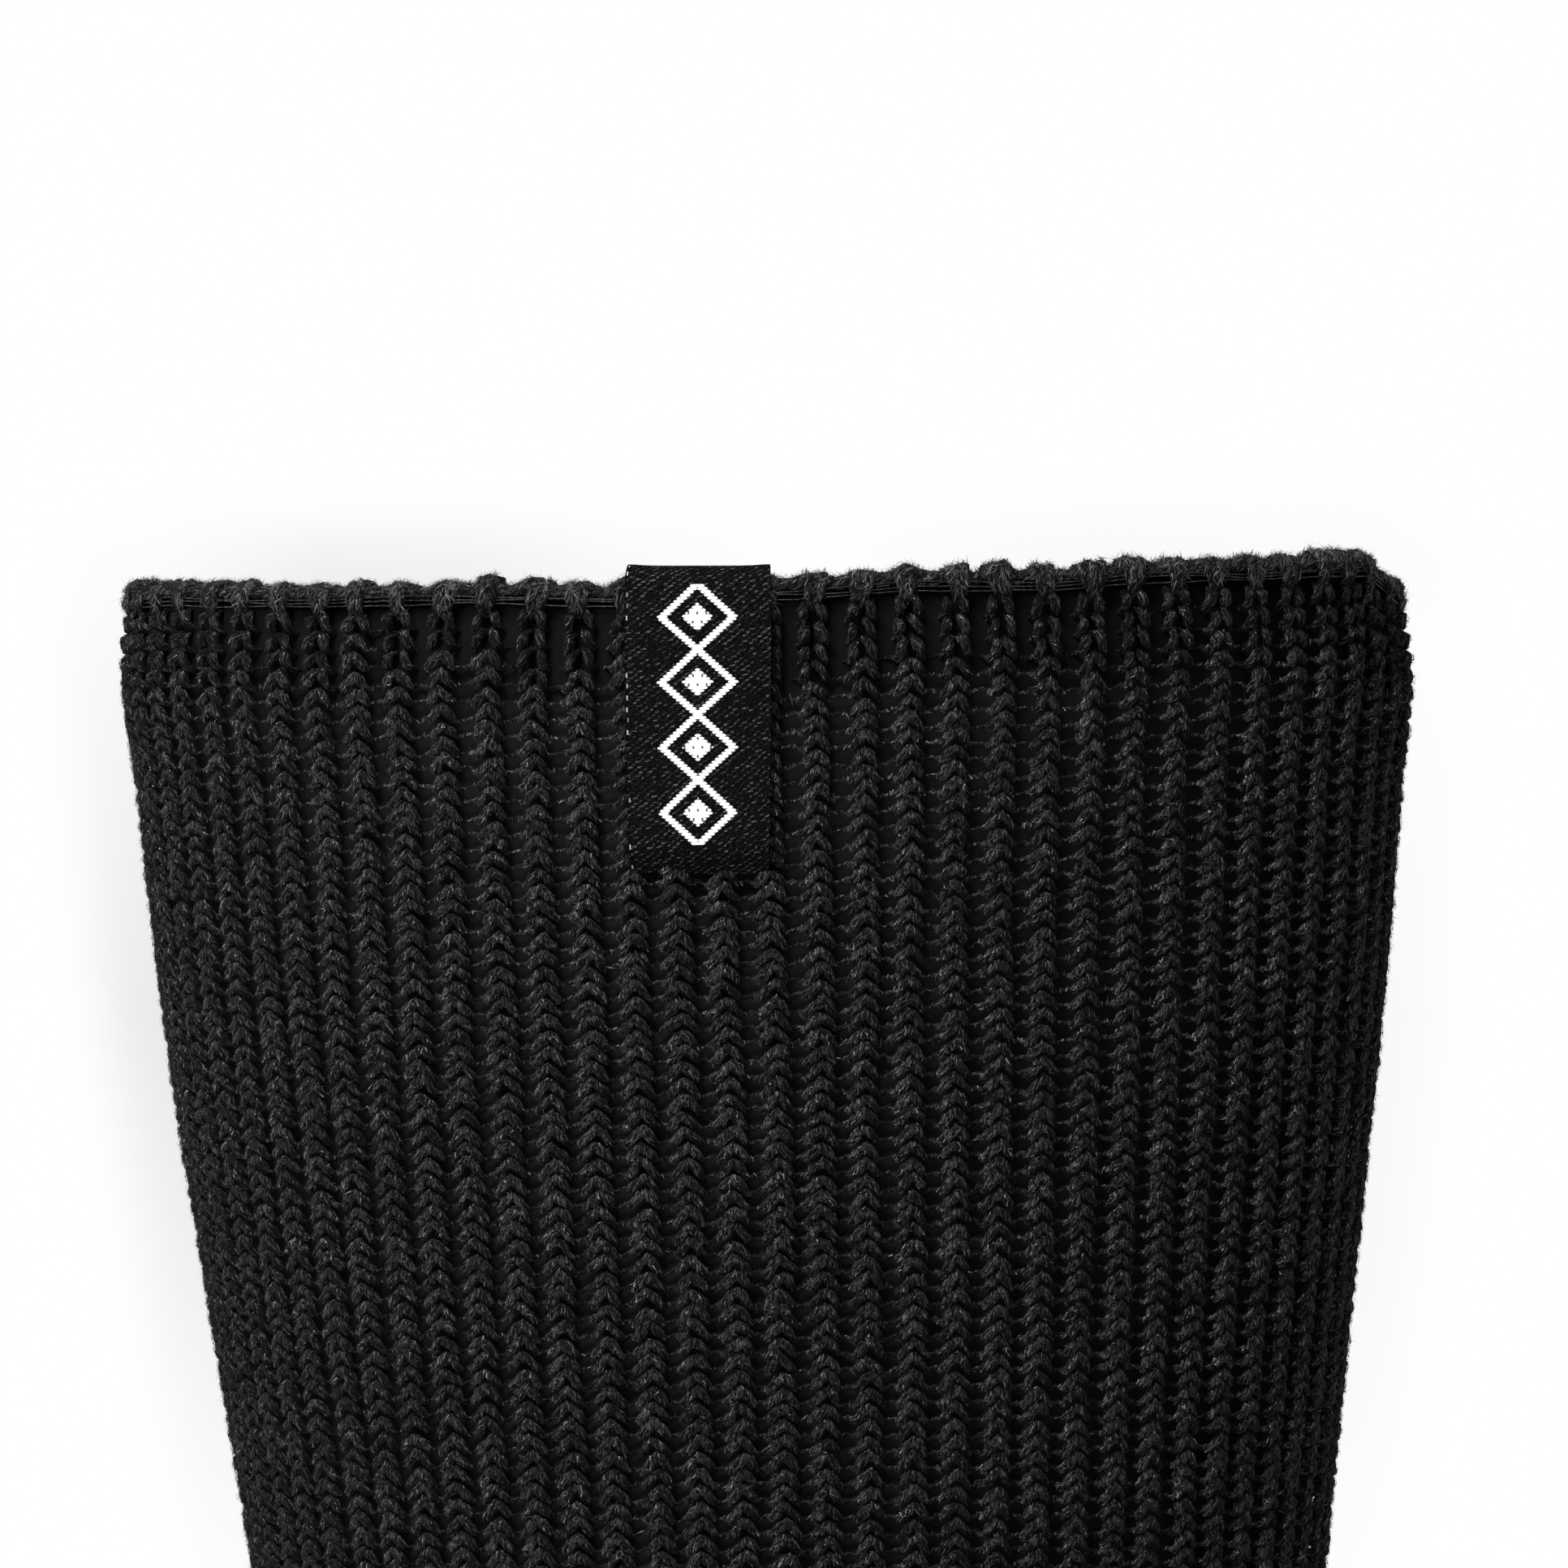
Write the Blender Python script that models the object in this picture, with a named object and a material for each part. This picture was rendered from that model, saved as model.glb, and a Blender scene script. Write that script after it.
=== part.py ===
"""A thick ribbed thermal sock in the hollow form that it has on a leg, and the folded label on its cuff.

The sock is one knitted tube: a cuff with a turned edge, a ribbed leg, a heel pocket, an instep in rib,
a plain sole and a plain toe closed by a flat seam. The frame's origin is the middle of the leg opening,
+Z is up the leg and +X is the way the toes point. The label is on the -Y side.
"""

import math
from collections import namedtuple

import bmesh
import bpy
import numpy as np

MM = 0.001

# The knitted wall, in millimetres.
WALL = 2.8  # from the crest of a rib to the plain inside
RIB_DEPTH = 1.1  # from the crest of a rib to the valley beside it
RIBS = 72  # ribs round the leg: a 144 needle cylinder in 1x1 rib
COLUMNS = 2 * RIBS  # outer columns: a crest and a valley for each rib
INNER_COLUMNS = RIBS // 2  # the plain inside needs fewer
KNOB_DROP = 0.8  # how far the valleys lie below the ribs' tops along the edge
SEAM_RISE = 0.7  # the toe seam's ridge
SEAM_REACH = 0.27  # how far the seam runs from the top of the toe, as a share of the way round

# The woven label, in millimetres.
LABEL_CENTRE_X = -5.2
LABEL_WIDTH = 12.0
LABEL_FRONT_DROP = 25.4  # the outer flap's lower end, below the origin
LABEL_BACK_DROP = 22.0  # the inner flap's lower end
LABEL_THICKNESS = 1.0  # the tape is woven double
LABEL_COLUMNS = 6  # strips across its width
LABEL_ROWS = 6  # strips down each flap
LABEL_TURN = 6  # strips round the fold
GAP = 0.3  # between two pieces

# The edge of the opening rises towards the front, with a shallow dip behind the middle.
EdgePoint = namedtuple("EdgePoint", "x z")
EDGE_LINE = (
    EdgePoint(-53.0, -0.6),
    EdgePoint(-36.5, -1.3),
    EdgePoint(-16.2, -2.2),
    EdgePoint(1.4, -0.6),
    EdgePoint(10.8, 0.4),
    EdgePoint(24.3, 0.9),
    EdgePoint(37.8, 1.4),
    EdgePoint(53.0, 2.1),
)
EDGE_FADE = 60.0  # the slope of the edge has died away this far down the leg

# Each ring runs from a front point, on the shin or the top of the foot, to a back point, on the calf,
# the heel or the sole. widest is how far the widest place lies from the back point, as a share of the
# way to the front point. square is the superellipse power of the half that holds the back point: 2 is
# an ellipse. ribbed is the share of the ring, centred on its front, that is in rib.
Ring = namedtuple("Ring", "name front_x front_z back_x back_z half_width widest square ribbed")
RINGS = (
    Ring("edge", 53.4, -1.4, -53.2, -1.4, 34.4, 0.50, 2.0, 1.0),
    Ring("welt", 53.8, -6.0, -53.6, -6.0, 34.6, 0.50, 2.0, 1.0),
    Ring("cuff", 52.9, -17.0, -52.3, -17.0, 34.6, 0.50, 2.0, 1.0),
    Ring("calf", 51.5, -37.0, -50.0, -37.0, 34.6, 0.50, 2.0, 1.0),
    Ring("mid_leg", 49.2, -59.0, -46.6, -59.0, 34.6, 0.50, 2.0, 1.0),
    Ring("low_leg", 46.9, -83.0, -42.6, -83.0, 34.5, 0.50, 2.0, 1.0),
    Ring("ankle_top", 45.1, -105.0, -39.6, -105.0, 34.0, 0.50, 2.0, 1.0),
    Ring("ankle", 45.0, -124.0, -38.4, -125.0, 33.6, 0.50, 2.0, 1.0),
    Ring("ankle_low", 48.0, -139.0, -40.0, -144.0, 33.8, 0.50, 2.0, 1.0),
    Ring("heel_top", 53.0, -151.0, -45.2, -165.0, 34.4, 0.49, 2.0, 0.5),
    Ring("heel_back", 59.0, -160.0, -53.2, -187.0, 34.8, 0.48, 2.0, 0.5),
    Ring("heel_bulge", 65.5, -167.0, -59.2, -210.0, 34.6, 0.46, 2.1, 0.5),
    Ring("heel_corner", 71.0, -171.6, -58.8, -227.0, 34.2, 0.44, 2.1, 0.5),
    Ring("heel_round", 76.0, -175.0, -51.6, -239.4, 34.2, 0.42, 2.1, 0.5),
    Ring("heel_sole", 81.5, -178.4, -38.0, -244.6, 34.6, 0.41, 2.2, 0.5),
    Ring("arch_back", 89.0, -182.5, -14.0, -245.4, 35.6, 0.39, 2.4, 0.5),
    Ring("arch", 98.0, -186.8, 14.0, -244.4, 37.6, 0.38, 2.5, 0.5),
    Ring("arch_front", 110.5, -192.0, 46.0, -243.6, 41.2, 0.37, 2.6, 0.5),
    Ring("ball_back", 124.5, -197.2, 78.0, -244.4, 45.4, 0.37, 2.6, 0.5),
    Ring("ball", 140.0, -202.4, 109.0, -245.8, 48.4, 0.38, 2.6, 0.5),
    Ring("ball_front", 155.5, -207.2, 138.0, -246.0, 49.2, 0.39, 2.5, 0.5),
    Ring("toe_start", 171.0, -212.0, 163.0, -245.4, 47.6, 0.41, 2.4, 0.0),
    Ring("toe_box", 184.5, -216.8, 182.0, -244.4, 43.0, 0.44, 2.3, 0.0),
    Ring("toe_seam", 195.0, -221.6, 195.0, -242.4, 34.6, 0.47, 2.1, 0.0),
    Ring("toe_round", 201.8, -226.4, 202.4, -239.4, 22.6, 0.49, 2.0, 0.0),
)
TOE_TIP = (206.2, 0.0, -232.6)
SEAM_RING = "toe_seam"
ARC_SAMPLES = 720  # fine steps round a ring, from which its even points are read
UP = np.array((0.0, 0.0, 1.0))


def clear_scene():
    """Removes what a new file holds."""
    for thing in list(bpy.data.objects):
        bpy.data.objects.remove(thing)


def edge_height(x):
    """How far the opening's edge lies above or below its mean height, at a place from back to front."""
    xs = [point.x for point in EDGE_LINE]
    zs = [point.z for point in EDGE_LINE]
    return np.interp(x, xs, zs)


def fine_outline(ring):
    """One ring's outline in fine steps, from its front round the -Y side to its back and home again."""
    turn = np.linspace(0.0, 2.0 * math.pi, ARC_SAMPLES + 1)
    cosine, sine = np.cos(turn), np.sin(turn)
    power = 2.0 / ring.square
    front_half = cosine >= 0.0
    along = np.where(front_half, (1.0 - ring.widest) * cosine, -ring.widest * np.abs(cosine) ** power)
    across = np.where(front_half, sine, np.sign(sine) * np.abs(sine) ** power)
    front = np.array((ring.front_x, 0.0, ring.front_z))
    back = np.array((ring.back_x, 0.0, ring.back_z))
    middle = back + ring.widest * (front - back)
    outline = middle + np.outer(along, front - back)
    outline[:, 1] -= ring.half_width * across
    fade = np.clip(1.0 + outline[:, 2] / EDGE_FADE, 0.0, 1.0)
    outline[:, 2] += fade * edge_height(outline[:, 0])
    return outline


def even_points(outline, count):
    """Points at even distances along a closed outline."""
    steps = np.linalg.norm(np.diff(outline, axis=0), axis=1)
    walked = np.concatenate(([0.0], np.cumsum(steps)))
    wanted = np.arange(count) / count * walked[-1]
    return np.stack([np.interp(wanted, walked, outline[:, axis]) for axis in range(3)], axis=1)


def crest_grid(count):
    """The surface through the ribs' crests: an array of rings, points and coordinates."""
    return np.array([even_points(fine_outline(ring), count) for ring in RINGS])


def outward(grid):
    """The unit normals of a grid of rings, pointing out of the tube."""
    tip = np.broadcast_to(np.array(TOE_TIP), grid[-1:].shape)
    longer = np.concatenate((grid, tip))
    down = np.gradient(longer, axis=0)[:-1]
    round_ring = np.roll(grid, -1, axis=1) - np.roll(grid, 1, axis=1)
    normal = np.cross(round_ring, down)
    normal /= np.linalg.norm(normal, axis=2, keepdims=True)
    centres = grid.mean(axis=1, keepdims=True)
    facing = np.sign((normal * (grid - centres)).sum(axis=(1, 2)))
    return normal * facing[:, None, None]


def share_from_front(count):
    """How far each point of a ring lies from the ring's front, as a share of half the way round."""
    place = np.arange(count) / count
    return 2.0 * np.minimum(place, 1.0 - place)


def ribbed_grid():
    """The sock's outer rings: every other point is sunk to a valley where the knitting is in rib."""
    grid = crest_grid(COLUMNS)
    normal = outward(grid)
    share = share_from_front(COLUMNS)
    valley = np.arange(COLUMNS) % 2 == 1
    for ring, points, away in zip(RINGS, grid, normal):
        sunk = valley & (share < ring.ribbed)
        points[sunk] -= RIB_DEPTH * away[sunk]
        if ring.name == SEAM_RING:
            ridge = np.clip(1.0 - share / (2.0 * SEAM_REACH), 0.0, 1.0)
            points += SEAM_RISE * np.sqrt(ridge)[:, None] * away
    return grid


def crown_ring():
    """The top of the turned edge: the ribs end in knobs, with lower places between them."""
    grid = crest_grid(COLUMNS)
    away = outward(grid)[0]
    away[:, 2] = 0.0
    crown = grid[0] - 0.5 * WALL * away
    crown[:, 2] += 0.5 * WALL
    crown[1::2, 2] -= KNOB_DROP
    return crown


def inner_grid():
    """The plain inside of the tube."""
    grid = crest_grid(INNER_COLUMNS)
    return grid - WALL * outward(grid)


def add_ring(mesh, points):
    """New vertices at some points that are given in millimetres."""
    return [mesh.verts.new(point * MM) for point in points]


def add_band(mesh, upper, lower):
    """Four-sided faces between two rings with as many points."""
    count = len(upper)
    for index in range(count):
        after = (index + 1) % count
        mesh.faces.new((upper[index], lower[index], lower[after], upper[after]))


def add_step_down(mesh, fine, coarse):
    """Triangles between a ring and one with fewer points, whose count goes into it evenly."""
    ratio = len(fine) // len(coarse)
    for index, point in enumerate(coarse):
        after = coarse[(index + 1) % len(coarse)]
        first = index * ratio
        for step in range(ratio):
            here = fine[first + step]
            there = fine[(first + step + 1) % len(fine)]
            corner = point if step < ratio // 2 else after
            mesh.faces.new((here, there, corner))
        halfway = fine[first + ratio // 2]
        mesh.faces.new((halfway, after, point))


def add_cap(mesh, ring, tip):
    """Triangles from the last ring to the tip of the toe."""
    top = mesh.verts.new(tip * MM)
    for index, point in enumerate(ring):
        mesh.faces.new((point, ring[(index + 1) % len(ring)], top))


def material(name, colour, roughness):
    """A plain finish."""
    finish = bpy.data.materials.new(name)
    finish.use_nodes = True
    shader = finish.node_tree.nodes["Principled BSDF"]
    shader.inputs["Base Color"].default_value = (*colour, 1.0)
    shader.inputs["Roughness"].default_value = roughness
    shader.inputs["Metallic"].default_value = 0.0
    return finish


def add_object(name, mesh, finish):
    """Turns a bmesh into an object of the scene, with its faces pointing out."""
    bmesh.ops.recalc_face_normals(mesh, faces=mesh.faces)
    data = bpy.data.meshes.new(name)
    mesh.to_mesh(data)
    mesh.free()
    data.materials.append(finish)
    thing = bpy.data.objects.new(name, data)
    bpy.context.scene.collection.objects.link(thing)
    return thing


def build_sock():
    """The knitted tube, open at the leg and closed at the toe."""
    mesh = bmesh.new()
    outer = [add_ring(mesh, points) for points in ribbed_grid()]
    inner = [add_ring(mesh, points) for points in inner_grid()]
    crown = add_ring(mesh, crown_ring())
    for rings in (outer, inner):
        for upper, lower in zip(rings, rings[1:]):
            add_band(mesh, upper, lower)
    add_band(mesh, crown, outer[0])
    add_step_down(mesh, crown, inner[0])
    tip = np.array(TOE_TIP)
    add_cap(mesh, outer[-1], tip)
    add_cap(mesh, inner[-1], tip - np.array((WALL, 0.0, 0.0)))
    black_wool = material("black_wool", (0.014, 0.014, 0.015), 0.95)
    sock = add_object("sock", mesh, black_wool)
    sock.data.shade_smooth()
    sock.data.set_sharp_from_angle(angle=math.radians(50.0))
    return sock


def leg_line(x):
    """The line down the -Y side of the leg at one place from back to front, and the normals along it."""
    rows = []
    aways = []
    grid = crest_grid(COLUMNS)
    normal = outward(grid)
    near_side = slice(0, COLUMNS // 2 + 1)
    for points, away in zip(grid, normal):
        order = np.argsort(points[near_side, 0])
        xs = points[near_side, 0][order]
        rows.append([np.interp(x, xs, points[near_side, axis][order]) for axis in range(3)])
        aways.append([np.interp(x, xs, away[near_side, axis][order]) for axis in range(3)])
    return np.array(rows), np.array(aways)


def beside_leg(line, x, height):
    """The point of a line down the leg at one height."""
    rising = line[np.argsort(line[:, 2])]
    return np.array((x, np.interp(height, rising[:, 2], rising[:, 1]), height))


def label_path(x, lift):
    """One lengthwise line of the label, from the outer flap's end over the edge to the inner flap's end.

    lift is how far the line lies from the knitting, so it is larger on the label's outer face.
    """
    line, aways = leg_line(x)
    edge = line[0, 2]
    away = aways[0] * (1.0, 1.0, 0.0)
    away /= np.linalg.norm(away)
    points = []
    for row in range(LABEL_ROWS):
        height = -LABEL_FRONT_DROP + (edge + LABEL_FRONT_DROP) * row / LABEL_ROWS
        points.append(beside_leg(line, x, height) + lift * away)
    middle = beside_leg(line, x, edge) - 0.5 * WALL * away
    radius = 0.5 * WALL + lift
    for step in range(LABEL_TURN + 1):
        turn = math.pi * step / LABEL_TURN
        points.append(middle + radius * (math.cos(turn) * away + math.sin(turn) * UP))
    for row in range(1, LABEL_ROWS + 1):
        height = edge + (-LABEL_BACK_DROP - edge) * row / LABEL_ROWS
        points.append(beside_leg(line, x, height) - (WALL + lift) * away)
    return points


def build_label():
    """The woven tab: two faces joined along their four sides."""
    mesh = bmesh.new()
    faces = []
    for lift in (GAP, GAP + LABEL_THICKNESS):
        lines = []
        for column in range(LABEL_COLUMNS + 1):
            x = LABEL_CENTRE_X + LABEL_WIDTH * (column / LABEL_COLUMNS - 0.5)
            lines.append(add_ring(mesh, label_path(x, lift)))
        faces.append(lines)
    under, over = faces
    for lines in faces:
        for left, right in zip(lines, lines[1:]):
            for row in range(len(left) - 1):
                mesh.faces.new((left[row], left[row + 1], right[row + 1], right[row]))
    for low, high in ((under[0], over[0]), (under[-1], over[-1])):
        for row in range(len(low) - 1):
            mesh.faces.new((low[row], low[row + 1], high[row + 1], high[row]))
    for end in (0, -1):
        for column in range(LABEL_COLUMNS):
            mesh.faces.new(
                (under[column][end], under[column + 1][end], over[column + 1][end], over[column][end])
            )
    black_satin = material("black_satin", (0.010, 0.010, 0.011), 0.55)
    return add_object("label", mesh, black_satin)


def main():
    clear_scene()
    build_sock()
    build_label()


main()
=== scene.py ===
"""Dresses a thick ribbed thermal sock: yarn knitted over its form, a turned cuff edge and a woven label.

The leg and the top of the foot are yarn, knitted course by course on the same rings as the solid model.
The heel, the sole and the toe are a plain knit on the wall itself. Sizes are in millimetres and become
metres only where a mesh is made. Everywhere, turn is how far round the sock a place lies, as a share from
the front past the -Y side, down is how far down the tube it lies from the top of the edge, and out is how
far it lies outside the crests of the ribs.
"""

import logging
import math
from dataclasses import dataclass, field
from enum import Enum

import bpy
import numpy as np
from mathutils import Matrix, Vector


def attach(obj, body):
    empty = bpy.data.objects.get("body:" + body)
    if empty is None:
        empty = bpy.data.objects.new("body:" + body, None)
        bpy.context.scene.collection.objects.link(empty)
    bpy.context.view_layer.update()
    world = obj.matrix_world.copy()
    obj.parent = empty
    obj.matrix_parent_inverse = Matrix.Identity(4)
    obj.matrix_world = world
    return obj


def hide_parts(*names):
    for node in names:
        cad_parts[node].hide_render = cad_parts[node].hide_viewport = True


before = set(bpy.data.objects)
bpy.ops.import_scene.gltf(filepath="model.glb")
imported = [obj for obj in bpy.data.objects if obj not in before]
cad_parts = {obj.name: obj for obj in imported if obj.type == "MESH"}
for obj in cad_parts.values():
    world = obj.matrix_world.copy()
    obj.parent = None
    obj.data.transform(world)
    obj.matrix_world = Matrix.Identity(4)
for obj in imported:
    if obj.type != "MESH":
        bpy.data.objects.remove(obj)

Array = np.ndarray
Directions = tuple[Array, Array, Array]
Floats = tuple[float, ...]
Material = bpy.types.Material
Socket = bpy.types.NodeSocket
Thing = bpy.types.Object
Triple = tuple[float, float, float]

LOG = logging.getLogger("sock")
MM = 0.001
FULL_TURN = 2.0 * math.pi


# Shader maths


class Signal:
    """A number that varies over a surface. Arithmetic on it adds Math nodes."""

    def __init__(self, shading: "Shading", socket: Socket) -> None:
        """Wraps an output socket of some shading."""
        self.shading = shading
        self.socket = socket

    def __add__(self, other: "Signal | float") -> "Signal":
        """Sum."""
        return self.shading.math("ADD", self, other)

    __radd__ = __add__

    def __sub__(self, other: "Signal | float") -> "Signal":
        """Difference."""
        return self.shading.math("SUBTRACT", self, other)

    def __rsub__(self, other: "Signal | float") -> "Signal":
        """Difference from a plain number."""
        return self.shading.math("SUBTRACT", other, self)

    def __mul__(self, other: "Signal | float") -> "Signal":
        """Product."""
        return self.shading.math("MULTIPLY", self, other)

    __rmul__ = __mul__

    def __truediv__(self, other: "Signal | float") -> "Signal":
        """Quotient."""
        return self.shading.math("DIVIDE", self, other)

    def __abs__(self) -> "Signal":
        """Size without its sign."""
        return self.shading.math("ABSOLUTE", self)

    def part(self) -> "Signal":
        """What is left after the whole number below."""
        return self.shading.math("FRACT", self)

    def whole(self) -> "Signal":
        """The whole number below."""
        return self.shading.math("FLOOR", self)

    def below(self, limit: float) -> "Signal":
        """1 where the number is under a limit and 0 elsewhere."""
        return self.shading.math("LESS_THAN", self, limit)

    def ramp(self, low: float, high: float, start: float = 0.0, end: float = 1.0) -> "Signal":
        """Rises smoothly from start to end.

        Args:
            low: where the rise begins.
            high: where it ends.
            start: the value up to low.
            end: the value from high on.

        Returns:
            The new signal.
        """
        made = self.shading.node(
            "ShaderNodeMapRange",
            {"interpolation_type": "SMOOTHSTEP"},
            {"Value": self, "From Min": low, "From Max": high, "To Min": start, "To Max": end},
        )
        return Signal(self.shading, made.outputs["Result"])


class Shading:
    """The nodes of one material, or of the world."""

    def __init__(self, owner: Material | bpy.types.World) -> None:
        """Takes the nodes of a new material or world in hand.

        Args:
            owner: the material or the world.
        """
        owner.use_nodes = True
        self.owner = owner
        self.tree = owner.node_tree

    def node(self, kind: str, settings: dict | None = None, inputs: dict | None = None) -> bpy.types.Node:
        """Adds any node.

        Args:
            kind: the node's type.
            settings: properties of the node, set before its sockets are.
            inputs: values or links of its sockets, by name or number.

        Returns:
            The node.
        """
        made = self.tree.nodes.new(kind)
        for key, value in (settings or {}).items():
            setattr(made, key, value)
        for key, value in (inputs or {}).items():
            self.feed(made.inputs[key], value)
        return made

    def feed(self, socket: Socket, value: "Signal | Socket | Triple | float") -> None:
        """Links a signal or a socket to an input, or sets a number, a vector or a colour on it.

        Args:
            socket: the input.
            value: what it gets.
        """
        if isinstance(value, Signal):
            value = value.socket
        if isinstance(value, Socket):
            self.tree.links.new(value, socket)
        elif socket.type == "RGBA":
            socket.default_value = (*value, 1.0)
        else:
            socket.default_value = value

    def math(self, operation: str, *values: Signal | float) -> Signal:
        """One Math node."""
        made = self.node("ShaderNodeMath", {"operation": operation}, dict(enumerate(values)))
        return Signal(self, made.outputs["Value"])

    def vector(self, operation: str, first: Socket, second: Triple, output: str = "Vector") -> Socket:
        """One Vector Math node."""
        settings = {"operation": operation}
        return self.node("ShaderNodeVectorMath", settings, {0: first, 1: second}).outputs[output]

    def blend(self, factor: Signal, low: Socket | Triple, high: Socket | Triple) -> Socket:
        """Mixes two colours, by a factor that is 0 for the first and 1 for the second."""
        inputs = {"Factor": factor, 6: low, 7: high}
        return self.node("ShaderNodeMix", {"data_type": "RGBA"}, inputs).outputs[2]

    def carried(self, name: str) -> Signal:
        """A number that the mesh carries at its points."""
        made = self.node("ShaderNodeAttribute", {"attribute_name": name})
        return Signal(self, made.outputs["Fac"])

    def coordinates(self, name: str) -> tuple[Signal, Signal, Socket]:
        """Reads a vector that the mesh carries at its points.

        Args:
            name: the attribute's name.

        Returns:
            Its first and second number, and the whole vector.
        """
        source = self.node("ShaderNodeAttribute", {"attribute_name": name}).outputs["Vector"]
        split = self.node("ShaderNodeSeparateXYZ", None, {"Vector": source})
        return Signal(self, split.outputs["X"]), Signal(self, split.outputs["Y"]), source

    def noise(self, vector: Socket, scale: Triple, detail: float, rough: float = 0.5) -> Signal:
        """Soft random variation, about 0.5.

        Args:
            vector: where the pattern is read.
            scale: how many lumps it has per unit of each of the vector's numbers.
            detail: how many finer layers it has.
            rough: the strength of the finer layers.

        Returns:
            The signal.
        """
        spread = self.vector("MULTIPLY", vector, scale)
        inputs = {"Vector": spread, "Scale": 1.0, "Detail": detail, "Roughness": rough}
        made = self.node("ShaderNodeTexNoise", {"noise_dimensions": "3D"}, inputs)
        return Signal(self, made.outputs["Fac"])

    def chance(self, inputs: dict[str, Signal]) -> Signal:
        """A random number from 0 to 1 for each pair of whole numbers.

        Args:
            inputs: the whole numbers, as X and Y.

        Returns:
            The signal.
        """
        cell = self.node("ShaderNodeCombineXYZ", None, inputs).outputs["Vector"]
        made = self.node("ShaderNodeTexWhiteNoise", {"noise_dimensions": "2D"}, {"Vector": cell})
        return Signal(self, made.outputs["Value"])

    def set(self, **values: Signal | Socket | Triple | float) -> None:
        """Sets or links the shader's inputs, whose names have spaces where these have underscores."""
        for key, value in values.items():
            self.feed(self.tree.nodes["Principled BSDF"].inputs[key.replace("_", " ")], value)

    def bump(self, height: Signal, distance: float) -> None:
        """Gives the shader a relief, from 0 for low to 1 for a height in millimetres."""
        inputs = {"Height": height, "Distance": distance * MM, "Strength": 1.0}
        self.set(Normal=self.node("ShaderNodeBump", None, inputs).outputs["Normal"])


# Finishes


@dataclass(frozen=True)
class Finish:
    """A finish, which makes one material."""

    name: str = "finish"

    def make(self) -> Material:
        """Makes the material.

        Returns:
            The material.
        """
        shading = Shading(bpy.data.materials.new(self.name))
        self.shade(shading)
        return shading.owner

    def shade(self, shading: Shading) -> None:
        """Sets up the material's nodes, which each finish does in its own way."""
        raise NotImplementedError(self.name)


@dataclass(frozen=True)
class YarnFinish(Finish):
    """Black hairy yarn: fine streaks of painted highlight that follow its fibres, in broader tufts."""

    name: str = "black_yarn"
    dark: Triple = (0.0042, 0.0042, 0.0043)
    light: Triple = (0.086, 0.086, 0.087)
    sheen: float = 0.02
    streaks: Triple = (1.1, 6.5, 6.5)
    streak_range: tuple[float, float] = (0.49, 0.63)
    tufts: Triple = (1.6, 3.0, 3.0)
    tuft_range: tuple[float, float] = (0.36, 0.66)
    relief: float = 0.3

    def shade(self, shading: Shading) -> None:
        """Sets up the material's nodes.

        Args:
            shading: the nodes.
        """
        _, _, fibre = shading.coordinates("fibre")
        streaks = shading.noise(fibre, self.streaks, 2.0, 0.6)
        tufts = shading.noise(fibre, self.tufts, 1.0)
        # Painted highlights: light streaks along the fibres stand for fibres catching the light, scaled by
        # the tone the yarn carries, with its painted shade and light.
        lit = streaks.ramp(*self.streak_range) * tufts.ramp(*self.tuft_range) * shading.carried("tone")
        shading.set(
            Base_Color=shading.blend(lit, self.dark, self.light),
            Roughness=0.95,
            Sheen_Weight=self.sheen,
            Sheen_Roughness=0.4,
            Specular_IOR_Level=0.04,
        )
        shading.bump(streaks, self.relief)


@dataclass(frozen=True)
class FuzzFinish(Finish):
    """Loose fibres that stand off the yarn, each with its own brightness."""

    name: str = "black_fuzz"
    dark: Triple = (0.004, 0.004, 0.004)
    light: Triple = (0.19, 0.19, 0.193)

    def shade(self, shading: Shading) -> None:
        """Sets up the material's nodes."""
        colour = shading.blend(shading.carried("tone"), self.dark, self.light)
        shading.set(Base_Color=colour, Roughness=0.7, Specular_IOR_Level=0.05)


@dataclass(frozen=True)
class PlainKnitFinish(Finish):
    """Small even stitches, two legs to each, as on the heel, sole and toe."""

    name: str = "black_plain_knit"
    dark: Triple = (0.002, 0.002, 0.0021)
    light: Triple = (0.05, 0.05, 0.051)
    slant: float = 0.85
    wander: float = 0.5
    relief: float = 0.55

    def shade(self, shading: Shading) -> None:
        """Sets up the material's nodes.

        Args:
            shading: the nodes.
        """
        wale, course, cloth = shading.coordinates("cloth")
        wander = (shading.noise(cloth, (0.6, 0.6, 0.6), 2.0) - 0.5) * self.wander
        side = abs((wale + wander * 0.5).part() - 0.5)
        leg = 1.0 - abs(side - 0.25) * 3.6
        turn = (course + side * (2.0 * self.slant) + wander).part()
        rise = 1.0 - abs(turn - 0.5) * 1.7
        fibres = shading.noise(cloth, (9.0, 3.0, 1.0), 3.0, 0.65)
        height = leg.ramp(0.0, 0.9) * rise.ramp(0.1, 0.9)
        # Painted shade: the stitches are darker where they lie low and lighter where they stand high.
        lit = height * 0.55 * fibres.ramp(0.35, 0.7, 0.25, 1.6)
        shading.set(
            Base_Color=shading.blend(lit, self.dark, self.light),
            Roughness=0.92,
            Sheen_Weight=0.035,
            Sheen_Roughness=0.4,
            Specular_IOR_Level=0.04,
        )
        shading.bump(height * 0.85 + fibres * 0.15, self.relief)


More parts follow.
